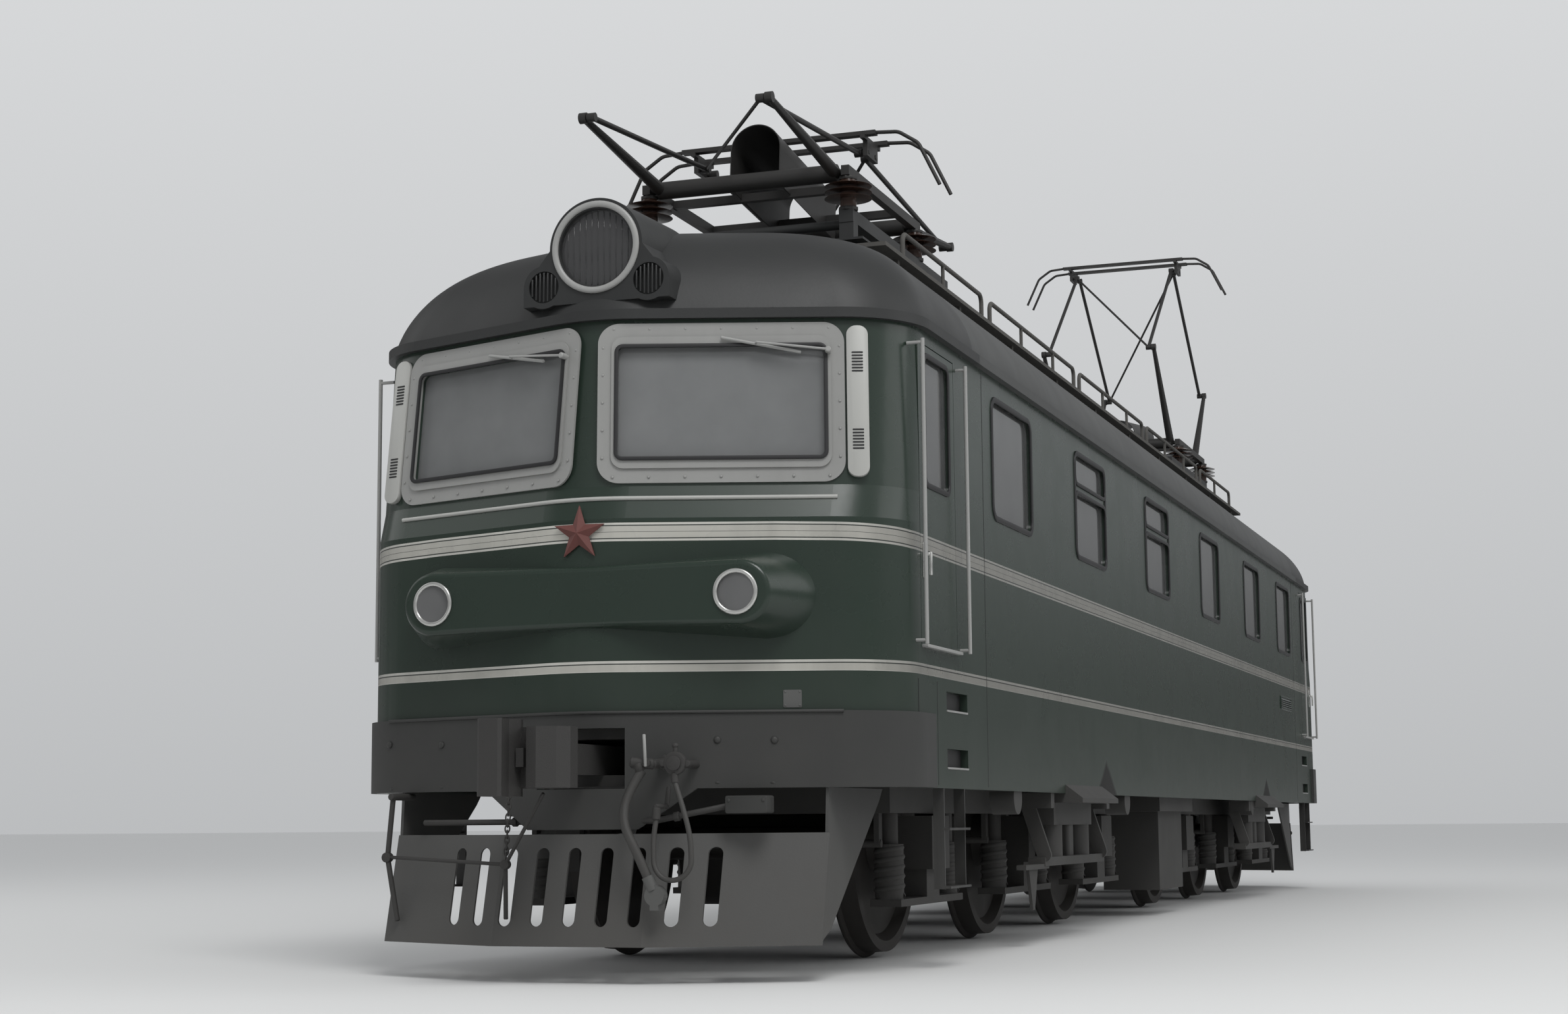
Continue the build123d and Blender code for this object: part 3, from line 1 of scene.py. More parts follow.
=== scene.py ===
# %% [markdown]
# # Dressing an electric locomotive
# The solid model already holds the body, the bogies and the pantographs. This lesson gives them
# paint, glass and the small things that a solid model leaves out: seals, rivets, rings, springs.
# Everything is in metres. The front cab points towards -Y and the wheels stand on z = 0.

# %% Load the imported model
from contextlib import contextmanager
from functools import partial
from math import atan2, cos, pi, radians, sin, sqrt, tan

import bmesh
import bpy
from mathutils import Matrix, Vector


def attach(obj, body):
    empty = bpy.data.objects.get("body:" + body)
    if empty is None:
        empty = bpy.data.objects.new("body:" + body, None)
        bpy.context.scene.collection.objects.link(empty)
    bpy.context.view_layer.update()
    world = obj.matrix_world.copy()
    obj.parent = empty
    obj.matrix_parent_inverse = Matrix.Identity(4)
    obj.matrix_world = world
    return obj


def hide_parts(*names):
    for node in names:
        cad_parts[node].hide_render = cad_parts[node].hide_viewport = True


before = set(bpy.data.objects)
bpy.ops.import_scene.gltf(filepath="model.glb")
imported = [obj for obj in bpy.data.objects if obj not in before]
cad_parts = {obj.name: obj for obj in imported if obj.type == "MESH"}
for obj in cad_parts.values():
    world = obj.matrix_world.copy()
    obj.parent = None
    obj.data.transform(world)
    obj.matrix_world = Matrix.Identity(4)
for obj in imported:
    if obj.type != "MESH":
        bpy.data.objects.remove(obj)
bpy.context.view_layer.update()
ENDS = (-1, 1)
SIDES = (-1, 1)
NAMED_ENDS = ((-1, "front"), (1, "rear"))
NAMED_SIDES = ((-1, "left"), (1, "right"))
print("Nodes in the model:", len(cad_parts))

# %% [markdown]
# ## The camera
# The picture was taken from one side, at about knee height, with the camera tilted up so that the roof
# gear fits in. Yaw, tilt and roll are kept as three plain angles, and the lens is given for the usual
# 36 mm wide sensor, so anybody can check the view against the photograph.

# %% Camera
CAMERA_PLACE = (4.949, -19.742, 0.769)
CAMERA_YAW = radians(19.39)
CAMERA_TILT = radians(7.54)
CAMERA_ROLL = radians(-0.468)
LENS_MM = 54.87

look = Vector((-sin(CAMERA_YAW) * cos(CAMERA_TILT), cos(CAMERA_YAW) * cos(CAMERA_TILT), sin(CAMERA_TILT)))
level = Vector((cos(CAMERA_YAW), sin(CAMERA_YAW), 0))
upright = level.cross(look)
right_hand = level * cos(CAMERA_ROLL) + upright * sin(CAMERA_ROLL)
up_hand = upright * cos(CAMERA_ROLL) - level * sin(CAMERA_ROLL)
turn = Matrix((right_hand, up_hand, -look)).transposed()

camera_data = bpy.data.cameras.new("photo_camera")
camera_data.lens = LENS_MM
camera_data.sensor_width = 36
camera_data.clip_end = 400
camera = bpy.data.objects.new("photo_camera", camera_data)
bpy.context.scene.collection.objects.link(camera)
camera.matrix_world = Matrix.Translation(CAMERA_PLACE) @ turn.to_4x4()
bpy.context.scene.camera = camera
print("Camera height:", CAMERA_PLACE[2])

# %% [markdown]
# ## Floor and light
# A real studio would not hold a locomotive, so the floor is simply a very large pale sheet, and the sky is
# one soft colour. Under an even sky, paint shows its own colour, and the shadow below the frame stays.
# The eye sees a sky that pales upwards. Gloss paint and glass mirror something else: dark ground along
# the horizon, a darker and uneven side on the left, and a pale sky above, so that a mirror has a story.
# The small helpers that wire shader nodes serve the sky first, and every finish after it.

# %% Floor, sky and lamps
bpy.ops.mesh.primitive_plane_add(size=600)
floor = bpy.context.object
floor.name = "studio_floor"
floor_paint = bpy.data.materials.new("studio_floor")
floor_paint.use_nodes = True
floor_shader = floor_paint.node_tree.nodes["Principled BSDF"]
floor_shader.inputs["Base Color"].default_value = (0.62, 0.62, 0.61, 1)
floor_shader.inputs["Roughness"].default_value = 0.9
floor.data.materials.append(floor_paint)

world = bpy.context.scene.world or bpy.data.worlds.new("studio_sky")
bpy.context.scene.world = world
world.use_nodes = True
sky = world.node_tree
sky.nodes.clear()


def feed(tree, socket, value):
    """Links a socket to another one, or sets it to a plain value."""
    if isinstance(value, bpy.types.NodeSocket):
        tree.links.new(value, socket)
    else:
        socket.default_value = value


def new_node(tree, kind, **inputs):
    """A shader node with its inputs fed. An underscore in a name stands for a space."""
    node = tree.nodes.new("ShaderNode" + kind)
    for name, value in inputs.items():
        feed(tree, node.inputs[name.replace("_", " ")], value)
    return node


def math_node(tree, operation, first, second=0):
    """A sum, product or comparison of two sockets or plain numbers."""
    node = tree.nodes.new("ShaderNodeMath")
    node.operation = operation
    feed(tree, node.inputs[0], first)
    feed(tree, node.inputs[1], second)
    return node.outputs[0]


def mix_colour(tree, mask, first, second):
    """The first colour, turned to the second where the mask is 1."""
    mix = tree.nodes.new("ShaderNodeMix")
    mix.data_type = "RGBA"
    for socket, value in ((mix.inputs["Factor"], mask), (mix.inputs[6], first), (mix.inputs[7], second)):
        feed(tree, socket, value)
    return mix.outputs[2]


def ramp_node(tree, value, stops):
    """Colours along a value. Stops are (position, red, green, blue) rows."""
    ramp = new_node(tree, "ValToRGB", Fac=value)
    elements = ramp.color_ramp.elements
    for index, (position, *colour) in enumerate(stops):
        stop = elements[index] if index < 2 else elements.new(position)
        stop.position = position
        stop.color = (*colour, 1)
    return ramp.outputs["Color"]


rays = new_node(sky, "LightPath").outputs
direction = new_node(sky, "TexCoord").outputs["Generated"]
axes = new_node(sky, "SeparateXYZ", Vector=direction).outputs
mottle = new_node(sky, "TexNoise", Vector=direction, Scale=9.0, Detail=9.0).outputs["Fac"]
seen_sky = ramp_node(sky, axes["Z"], ((0.0, 0.50, 0.51, 0.52), (0.45, 0.74, 0.75, 0.76)))
mirrored_sky = ramp_node(sky, axes["Z"], ((0.05, 0.08, 0.08, 0.08), (0.17, 0.42, 0.43, 0.44),
                                          (0.38, 0.58, 0.59, 0.60), (0.66, 0.26, 0.265, 0.27)))
mirrored_left = ramp_node(sky, mottle, ((0.42, 0.05, 0.05, 0.05), (0.60, 0.30, 0.30, 0.30)))
left_part = new_node(sky, "MapRange", Value=axes["X"], From_Min=-0.30, From_Max=-0.60).outputs["Result"]
mirrored = mix_colour(sky, left_part, mirrored_sky, mirrored_left)
backdrop = new_node(sky, "Background", Color=mix_colour(sky, rays["Is Camera Ray"], mirrored, seen_sky))
daylight = new_node(sky, "Background", Color=(0.95, 0.97, 1.0, 1), Strength=0.74)
not_diffuse = math_node(sky, "MAXIMUM", rays["Is Camera Ray"], rays["Is Glossy Ray"])
not_diffuse = math_node(sky, "MAXIMUM", not_diffuse, rays["Is Transmission Ray"])
sky_mix = new_node(sky, "MixShader", Fac=not_diffuse)
sky.links.new(daylight.outputs[0], sky_mix.inputs[1])
sky.links.new(backdrop.outputs[0], sky_mix.inputs[2])
new_node(sky, "OutputWorld", Surface=sky_mix.outputs[0])

LAMPS = (
    # name, place, size, watts
    ("high_front", (10, -20, 22), 10, 3400),
    ("long_side", (22, -2, 14), 16, 900),
    ("far_side", (-20, -8, 14), 14, 500),
)
LIT_SPOT = Vector((0, -3, 2))
for lamp_name, place, size, watts in LAMPS:
    lamp_data = bpy.data.lights.new(lamp_name, "AREA")
    lamp_data.size = size
    lamp_data.energy = watts
    lamp = bpy.data.objects.new(lamp_name, lamp_data)
    bpy.context.scene.collection.objects.link(lamp)
    lamp.location = place
    aim = LIT_SPOT - Vector(place)
    lamp.rotation_euler = aim.to_track_quat("-Z", "Y").to_euler()
print("Lamps:", len(LAMPS))

# %% [markdown]
# ## Five effects that finishes are made of
# Paint on a working engine is never one colour. Dust climbs up from the ground, rain draws streaks down the
# sides, and every surface has a fine orange-peel grain. Each effect is a node group with its own inputs,
# built once. A fourth group marks a level band, which is how the trim lines round the body are found; on the
# nose the upper one runs a little higher. A fifth marks the pointed soot stains above the sand pipes.

# %% Effect groups
def new_group(name, inputs, outputs):
    """An empty shader node group: its tree, a way to calculate in it, what comes in and what goes out."""
    group = bpy.data.node_groups.new(name, "ShaderNodeTree")
    for socket_name, kind, value in inputs:
        made = group.interface.new_socket(socket_name, in_out="INPUT", socket_type=kind)
        made.default_value = value
    for socket_name, kind in outputs:
        group.interface.new_socket(socket_name, in_out="OUTPUT", socket_type=kind)
    comes_in, goes_out = group.nodes.new("NodeGroupInput"), group.nodes.new("NodeGroupOutput")
    return group, partial(math_node, group), comes_in.outputs, goes_out.inputs


def object_axes(tree):
    """Object coordinates as three numbers, by axis."""
    return new_node(tree, "SeparateXYZ", Vector=new_node(tree, "TexCoord").outputs["Object"]).outputs


def noise_node(tree, scale, detail, stretch=(1, 1, 1)):
    """Noise over the surface, as a number from 0 to 1."""
    point = new_node(tree, "TexCoord").outputs["Object"]
    point = new_node(tree, "Mapping", Vector=point, Scale=stretch).outputs["Vector"]
    return new_node(tree, "TexNoise", Vector=point, Scale=scale, Detail=detail).outputs["Fac"]


def clamped(tree, value):
    """The value, kept between 0 and 1."""
    return new_node(tree, "Clamp", Value=value).outputs[0]


FLOAT, COLOUR = "NodeSocketFloat", "NodeSocketColor"
NOSE_LIFT = 0.022
CORNER_FROM, CORNER_TO = 8.05, 8.50

dust_group, dust_math, dust_in, dust_out = new_group(
    "ground_dust",
    (("Clean", COLOUR, (0.1, 0.1, 0.1, 1)), ("Dust", COLOUR, (0.2, 0.18, 0.15, 1)),
     ("Top", FLOAT, 1.5), ("Amount", FLOAT, 0.6)),
    (("Colour", COLOUR), ("Mask", FLOAT)))
settle = dust_math("SUBTRACT", 1.0, dust_math("DIVIDE", object_axes(dust_group)["Z"], dust_in["Top"]))
cloud = noise_node(dust_group, 2.3, 7)
patch = dust_math("MULTIPLY", settle, dust_math("MULTIPLY", cloud, 1.9))
lifted = dust_math("MAXIMUM", patch, dust_math("MULTIPLY", cloud, 0.16))
dust_mask = clamped(dust_group, dust_math("MULTIPLY", lifted, dust_in["Amount"]))
feed(dust_group, dust_out["Colour"], mix_colour(dust_group, dust_mask, dust_in["Clean"], dust_in["Dust"]))
feed(dust_group, dust_out["Mask"], dust_mask)

streak_group, streak_math, streak_in, streak_out = new_group(
    "rain_streaks", (("Strength", FLOAT, 0.3),), (("Mask", FLOAT),))
narrow = noise_node(streak_group, 1.0, 6, (9, 9, 0.25))
broad = noise_node(streak_group, 1.0, 3, (1.1, 1.1, 0.12))
raised = streak_math("SUBTRACT", streak_math("MULTIPLY", narrow, broad), 0.20)
streak_mask = streak_math("MULTIPLY", streak_math("MULTIPLY", raised, 3.2), streak_in["Strength"])
feed(streak_group, streak_out["Mask"], clamped(streak_group, streak_mask))

grain_group, grain_math, grain_in, grain_out = new_group(
    "surface_grain", (("Scale", FLOAT, 120.0), ("Roughness", FLOAT, 0.4), ("Spread", FLOAT, 0.15)),
    (("Height", FLOAT), ("Roughness", FLOAT)))
feed(grain_group, grain_out["Height"], noise_node(grain_group, grain_in["Scale"], 3))
handled = grain_math("SUBTRACT", noise_node(grain_group, 3.1, 5), 0.5)
uneven = grain_math("MULTIPLY", handled, grain_in["Spread"])
feed(grain_group, grain_out["Roughness"], grain_math("ADD", uneven, grain_in["Roughness"]))

band_group, band_math, band_in, band_out = new_group(
    "level_band", (("Middle", FLOAT, 2.0), ("Half width", FLOAT, 0.04), ("Nose lift", FLOAT, 0.0)),
    (("Mask", FLOAT), ("Nose", FLOAT)))
place = object_axes(band_group)
in_corner = new_node(band_group, "MapRange", Value=band_math("ABSOLUTE", place["Y"]),
                     From_Min=CORNER_FROM, From_Max=CORNER_TO).outputs["Result"]
level = band_math("ADD", band_in["Middle"], band_math("MULTIPLY", in_corner, band_in["Nose lift"]))
off_middle = band_math("ABSOLUTE", band_math("SUBTRACT", place["Z"], level))
feed(band_group, band_out["Mask"], band_math("LESS_THAN", off_middle, band_in["Half width"]))
feed(band_group, band_out["Nose"], in_corner)

soot_group, soot_math, soot_in, soot_out = new_group(
    "soot_spike", (("Middle", FLOAT, 0.0), ("Top", FLOAT, 1.2)), (("Mask", FLOAT),))
place = object_axes(soot_group)
along_side = soot_math("MULTIPLY", place["Y"], soot_math("SIGN", place["X"]))
off_spike = soot_math("ABSOLUTE", soot_math("SUBTRACT", along_side, soot_in["Middle"]))
half_width = soot_math("MULTIPLY", soot_math("SUBTRACT", soot_in["Top"], place["Z"]), 1.4)
inside_spike = soot_math("MULTIPLY", soot_math("SUBTRACT", half_width, off_spike), 14.0)
feed(soot_group, soot_out["Mask"], clamped(soot_group, inside_spike))
print("Effect groups:", [group.name for group in bpy.data.node_groups])

# %% [markdown]
# ## Finishes
# One helper puts the shared effects into a material in the order in which they happen on the real thing:
# the paint first, then rain streaks, then dust from the ground, and the grain as a bump. The photograph is
# black and white, so the colours are a guess: a muted dark green that engines of this kind often wore.

# %% Material helper
# Painted shade: along the sides the trim bands keep only this share of the brightness they have on the nose.
SIDE_SHADE = 0.50
SOOT = (0.008, 0.008, 0.008, 1)
DRY_DUST, GEAR_DUST, TRIM_DUST = (0.075, 0.070, 0.063, 1), (0.045, 0.042, 0.038, 1), (0.22, 0.21, 0.19, 1)


def place_group(tree, group, **values):
    """The group as a node, with its inputs fed, and its outputs by name."""
    node = tree.nodes.new("ShaderNodeGroup")
    node.node_tree = group
    for name, value in values.items():
        feed(tree, node.inputs[name.replace("_", " ")], value)
    return node.outputs


def finish_with(name, colour, roughness, dust, dust_top, streaks, grain=120, bump=0.15, metallic=0.0,
                coat=0.0, mirror=0.4, bands=(), dust_colour=DRY_DUST, wave=0.0, soot=()):
    """A weathered finish. Bands are (middle, half width, colour) rows, painted one after the other, with
    painted shade along the sides.
    """
    material = bpy.data.materials.new(name)
    material.use_nodes = True
    tree = material.node_tree
    maths, mixed = partial(math_node, tree), partial(mix_colour, tree)
    shader = tree.nodes["Principled BSDF"].inputs
    shader["Metallic"].default_value = metallic
    shader["Specular IOR Level"].default_value = mirror
    shader["Coat Weight"].default_value = coat
    shader["Coat Roughness"].default_value = 0.12
    paint = (*colour, 1)
    for middle, half_width, band_colour in bands:
        band = place_group(tree, band_group, Middle=middle, Half_width=half_width,
                           Nose_lift=NOSE_LIFT if middle > 2.0 else 0.0)
        # Painted shade: along the sides the band's colour is darkened to a share of its colour on the nose.
        side_shaded = (*(SIDE_SHADE * c for c in band_colour), 1)
        paint = mixed(band["Mask"], paint, mixed(band["Nose"], side_shaded, (*band_colour, 1)))
    surface = place_group(tree, grain_group, Scale=float(grain), Roughness=roughness, Spread=0.15)
    rough = surface["Roughness"]
    for middle, top in soot:
        spike = place_group(tree, soot_group, Middle=middle, Top=top)["Mask"]
        paint = mixed(spike, paint, SOOT)
        rough = maths("ADD", rough, maths("MULTIPLY", spike, 0.6))
    streak = place_group(tree, streak_group, Strength=streaks)["Mask"]
    paint = mixed(streak, paint, (*(0.6 * c + 0.012 for c in colour), 1))
    dusted = place_group(tree, dust_group, Clean=paint, Dust=dust_colour, Top=dust_top, Amount=dust)
    rough = maths("ADD", rough, maths("MULTIPLY", dusted["Mask"], 0.45))
    buckled = maths("MULTIPLY", noise_node(tree, 1.6, 1), wave)
    height = maths("ADD", surface["Height"], buckled)
    relief = new_node(tree, "Bump", Strength=bump, Distance=0.002, Height=height)
    feed(tree, shader["Normal"], relief.outputs["Normal"])
    feed(tree, shader["Base Color"], dusted["Colour"])
    feed(tree, shader["Roughness"], rough)
    return material


# %% [markdown]
# The body is gloss paint with two light trims: a broad ribbed band below the windows and a narrow double
# band above the beam. The ribs are not modelled: a painted highlight runs along each band's edges and thin
# lines of painted shade mark the grooves, so the bands are painted wide first and the grooves last.
# Along the sides the bands are painted at half the brightness that they keep on the nose, as painted shade.

# %% Body, roof and running gear
GREEN = (0.020, 0.032, 0.024)
CREAM = (0.42, 0.41, 0.37)
# Painted highlight along the edges of the ribbed bands.
EDGE_HIGHLIGHT = (0.50, 0.49, 0.45)
# Painted shade in the grooves between the ribs.
GROOVE_SHADE = (0.05, 0.055, 0.05)
TRIM_BANDS = (
    # middle, half width, colour; what lies above 2 m is lifted on the nose
    (2.208, 0.047, EDGE_HIGHLIGHT), (2.208, 0.036, CREAM), (2.241, 0.003, GROOVE_SHADE), (2.175, 0.003, GROOVE_SHADE),
    (2.208, 0.0010, GROOVE_SHADE), (1.552, 0.028, EDGE_HIGHLIGHT), (1.548, 0.020, CREAM), (1.564, 0.003, GROOVE_SHADE),
)
LADDER_BLACK = ((0.60, 0.45, (0.030, 0.030, 0.029)),)
SOOT_SPIKES = ((-3.37, 1.20), (4.27, 1.19))
# name, colour, roughness, amount of dust, how high the dust climbs, streaks, and what else differs
body_gloss = finish_with("body_gloss", GREEN, 0.27, 0.25, 1.9, 0.25, bump=0.05, coat=0.12, mirror=0.35,
                         wave=2.5, bands=TRIM_BANDS, soot=SOOT_SPIKES)
beam_black = finish_with("beam_black", (0.027, 0.028, 0.027), 0.5, 0.25, 2.4, 0.3)
# Painted light: the plough is a lighter black than the beam, for the light that snow throws up onto it.
plough_black = finish_with("plough_black", (0.062, 0.062, 0.060), 0.6, 0.5, 1.0, 0.3, 90, 0.35)
roof_grey = finish_with("roof_grey", (0.023, 0.024, 0.024), 0.5, 0.25, 1.0, 0.5, 60, 0.2)
roof_worn = finish_with("roof_worn", (0.056, 0.058, 0.057), 0.55, 0.35, 1.0, 0.7, 60, 0.2)
plate_grey = finish_with("plate_grey", (0.085, 0.086, 0.083), 0.5, 0.2, 2.2, 0.3)
gear_black = finish_with("gear_black", (0.042, 0.041, 0.039), 0.6, 0.30, 1.5, 0.2, 90, 0.3,
                         dust_colour=GEAR_DUST)
cast_dark = finish_with("cast_dark", (0.031, 0.030, 0.029), 0.6, 0.35, 1.6, 0.2, 160, 0.6,
                        dust_colour=(0.06, 0.056, 0.050, 1))
wheel_steel = finish_with("wheel_steel", (0.030, 0.027, 0.025), 0.5, 0.35, 1.4, 0.1, 140, 0.35, metallic=0.3,
                          dust_colour=GEAR_DUST)
trim_satin = finish_with("trim_satin", (0.37, 0.37, 0.35), 0.38, 0.18, 3.0, 0.22, bump=0.08,
                         dust_colour=TRIM_DUST)
frame_satin = finish_with("frame_satin", (0.25, 0.25, 0.24), 0.38, 0.18, 3.0, 0.30, bump=0.08,
                          dust_colour=(0.18, 0.17, 0.16, 1))
rail_paint = finish_with("rail_paint", (0.29, 0.29, 0.28), 0.35, 0.2, 2.2, 0.3)
ladder_paint = finish_with("ladder_paint", (0.29, 0.29, 0.28), 0.4, 0.2, 2.2, 0.3, bands=LADDER_BLACK)
panto_dark = finish_with("panto_dark", (0.030, 0.029, 0.028), 0.5, 0.25, 3.0, 0.3, 200, 0.25, metallic=0.2)
cab_cream = finish_with("cab_cream", (0.24, 0.25, 0.22), 0.5, 0.1, 1.6, 0.0)
seat_leather = finish_with("seat_leather", (0.05, 0.035, 0.025), 0.5, 0.1, 1.6, 0.0, 260, 0.5)
deck_boards = finish_with("deck_boards", (0.075, 0.072, 0.066), 0.8, 0.3, 1.0, 0.4, 80, 0.7)
# Near-black rubber for seals and joints; the same finish serves as painted shade in the foot pockets, the
# vent slots and behind the low grille.
seal_rubber = finish_with("seal_rubber", (0.014, 0.014, 0.015), 0.5, 0.2, 2.2, 0.15)
hose_rubber = finish_with("hose_rubber", (0.040, 0.039, 0.037), 0.5, 0.3, 1.5, 0.2, 220, 0.4)
brown_glaze = finish_with("brown_glaze", (0.045, 0.024, 0.017), 0.18, 0.25, 2.0, 0.2, bump=0.03)
bright_ring = finish_with("bright_ring", (0.55, 0.55, 0.53), 0.25, 0.15, 2.0, 0.15, bump=0.05, metallic=0.7)
lamp_silver = finish_with("lamp_silver", (0.62, 0.62, 0.60), 0.22, 0.0, 1.6, 0.0, bump=0.02, metallic=0.85)
star_red = finish_with("star_red", (0.125, 0.042, 0.036), 0.5, 0.35, 3.0, 0.3, mirror=0.25)
print("Finishes:", len(bpy.data.materials))

# %% [markdown]
# Glass needs its own recipe. The windscreens are dusty and mirror the pale sky, and their lighter tint is
# dust and painted reflection, while the side windows look into a dark machine room, and their darker tint is
# painted shade. One glass material serves both: its tint and its roughness change with the place along the
# engine, and its transmission stays one plain number so that it survives an export.

# %% Glass
SCREENS_FROM, LAMPS_BELOW, HEADLIGHTS_ABOVE = 8.1, 2.2, 3.45
dusty_glass = bpy.data.materials.new("dusty_glass")
dusty_glass.use_nodes = True
glass_tree = dusty_glass.node_tree
glass = glass_tree.nodes["Principled BSDF"]
glass.inputs["Transmission Weight"].default_value = 0.45
glass.inputs["IOR"].default_value = 1.5
glass_math, glass_mix = partial(math_node, glass_tree), partial(mix_colour, glass_tree)
place = object_axes(glass_tree)
in_nose = glass_math("GREATER_THAN", glass_math("ABSOLUTE", place["Y"]), SCREENS_FROM)
high_up = glass_math("GREATER_THAN", place["Z"], HEADLIGHTS_ABOVE)
low_down = glass_math("LESS_THAN", place["Z"], LAMPS_BELOW)
film = noise_node(glass_tree, 4.0, 6)
# Painted shade: the side windows are tinted darker for the dark machine room behind them.
side_glass_shade = glass_mix(film, (0.10, 0.102, 0.102, 1), (0.17, 0.172, 0.17, 1))
# Dust and painted reflection: the windscreens are tinted lighter for their dust and for the pale sky that
# they mirror.
screen_dust_and_reflection = glass_mix(film, (0.20, 0.205, 0.205, 1), (0.30, 0.305, 0.305, 1))
lens_tint = glass_mix(film, (0.17, 0.17, 0.17, 1), (0.25, 0.25, 0.25, 1))
tint = glass_mix(low_down, glass_mix(in_nose, side_glass_shade, screen_dust_and_reflection), lens_tint)
tint = glass_mix(high_up, tint, (0.085, 0.085, 0.086, 1))
feed(glass_tree, glass.inputs["Base Color"], tint)
feed(glass_tree, glass.inputs["Roughness"], glass_math("MULTIPLY", film, 0.12))

# %% [markdown]
# ## Paint the solid model
# A CAD node whose shape is right keeps its mesh and only changes its finish.

# %% Give every CAD node its finish
NODE_FINISH = (
    # finish, what the names of its nodes start with
    (body_gloss, ("cab_shells", "side_walls", "cab_door")),
    (roof_grey, ("roof_domes", "roof_equipment")),
    (roof_worn, ("roof_centre",)),
    (deck_boards, ("roof_walkways",)),
    (brown_glaze, ("roof_insulators",)),
    (panto_dark, ("pantograph_bases", "panto_")),
    (beam_black, ("end_beams",)),
    (plough_black, ("snowploughs",)),
    (gear_black, ("underframe", "underfloor_boxes", "side_brackets", "bogie_frame", "traction_motors")),
    (cast_dark, ("couplers", "end_fittings", "axleboxes", "brake_gear")),
    (wheel_steel, ("wheelset",)),
    (hose_rubber, ("brake_hose", "jumper")),
    (plate_grey, ("hose_heads",)),
    (ladder_paint, ("steps_and_handrails",)),
    (frame_satin, ("windscreen_frames",)),
    (dusty_glass, ("window_glass", "door_glass")),
    (lamp_silver, ("lamps",)),
    (cab_cream, ("cab_bulkheads", "machinery")),
    (seat_leather, ("cab_furniture",)),
)
for node_name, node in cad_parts.items():
    node.data.materials.clear()
    node.data.materials.append(next(finish for finish, starts in NODE_FINISH if node_name.startswith(starts)))
print("Nodes painted:", len(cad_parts))

# %% [markdown]
# ## Hoses at the ends
# The brake hose and the thinner second hose hang from their cocks in a free curve. Each is one smooth
# spline whose control points are the route's own points, so it bends everywhere a little and nowhere
# sharply, as rubber does.

# %% Hoses
HOSE_ROUTES = (
    # name, diameter, length, what it ends in, stiffness, points: x, distance from the middle, z
    ("brake_hose", 0.046, 0.564, "connector", "medium", (
        (0.392, 8.914, 1.030), (0.328, 8.955, 0.915), (0.326, 9.000, 0.775), (0.400, 9.005, 0.640),
        (0.452, 8.990, 0.520))),
    ("jumper", 0.026, 0.894, "object", "limp", (
        (0.572, 8.930, 0.970), (0.622, 8.952, 0.850), (0.664, 8.968, 0.720), (0.674, 8.976, 0.630),
        (0.675, 8.979, 0.561), (0.619, 8.980, 0.503), (0.537, 8.980, 0.501), (0.481, 8.978, 0.557),
        (0.475, 8.968, 0.638), (0.470, 8.955, 0.715), (0.477, 8.940, 0.790))),
)


def round_line(name, kind, radius, roundness, points):
    """A round line along control points, and its spline."""
    line = bpy.data.curves.new(name, "CURVE")
    line.dimensions = "3D"
    line.bevel_depth = radius
    line.bevel_resolution = roundness
    line.use_fill_caps = True
    spline = line.splines.new(kind)
    spline.points.add(len(points) - 1)
    for point, place in zip(spline.points, points):
        point.co = (*place, 1)
    piece = bpy.data.objects.new(name, line)
    bpy.context.scene.collection.objects.link(piece)
    return piece, spline


for end, end_name in NAMED_ENDS:
    for hose_name, diameter, length, far_end, stiffness, route in HOSE_ROUTES:
        points = [(-end * x, end * y, z) for x, y, z in route]
        hose, spline = round_line(f"{hose_name}_{end_name}_rubber", "NURBS", diameter / 2, 5, points)
        spline.order_u = 3
        spline.use_endpoint_u = True
        hose.data.resolution_u = 10
        hose.data.materials.append(hose_rubber)
        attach(hose, "root")
        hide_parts(f"{hose_name}_{end_name}")
        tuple(points[0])
print("Hoses:", 2 * len(HOSE_ROUTES))

# %% [markdown]
# ## Tools for modelling by hand
# The next cells model small pieces as one would in the viewport: add a primitive, go into edit mode, inset
# or extrude it, then apply a modifier or two. These helpers only save typing: they keep the selection clean,
# put a finished shape on its seat, and hand the piece over to the body that carries it.

# %% Modelling helpers
def only(piece):
    """Selects one piece and nothing else."""
    bpy.ops.object.select_all(action="DESELECT")
    bpy.context.view_layer.objects.active = piece
    piece.select_set(True)


def added(operator, **settings):
    """The piece that an add operator makes, with nothing else selected before."""
    bpy.ops.object.select_all(action="DESELECT")
    operator(**settings)
    return bpy.context.object


def settled(piece):
    """The piece with its place, turn and scale taken into its mesh."""
    only(piece)
    bpy.ops.object.transform_apply(location=True, rotation=True, scale=True)
    return piece


@contextmanager
def editing(piece):
    """Edit mode with the whole piece selected, and object mode again afterwards."""
    only(piece)
    bpy.ops.object.mode_set(mode="EDIT")
    bpy.ops.mesh.select_all(action="SELECT")
    yield
    bpy.ops.object.mode_set(mode="OBJECT")


def apply_modifier(piece, kind, **settings):
    """Adds a modifier, sets it and applies it at once."""
    only(piece)
    modifier = piece.modifiers.new(kind.lower(), kind)
    for name, value in settings.items():
        setattr(modifier, name, value)
    bpy.ops.object.modifier_apply(modifier=modifier.name)


def soften(piece, width, segments=2):
    """Bevels the sharp edges of a piece."""
    apply_modifier(piece, "BEVEL", width=width, segments=segments, limit_method="ANGLE")


def rounded_plate(width, height, radius, segments=6):
    """A flat plate with round corners, facing up."""
    plate = added(bpy.ops.mesh.primitive_plane_add, size=1)
    plate.scale = (width, height, 1)
    settled(plate)
    with editing(plate):
        bpy.ops.mesh.bevel(offset=radius, segments=segments, affect="VERTICES")
    return plate


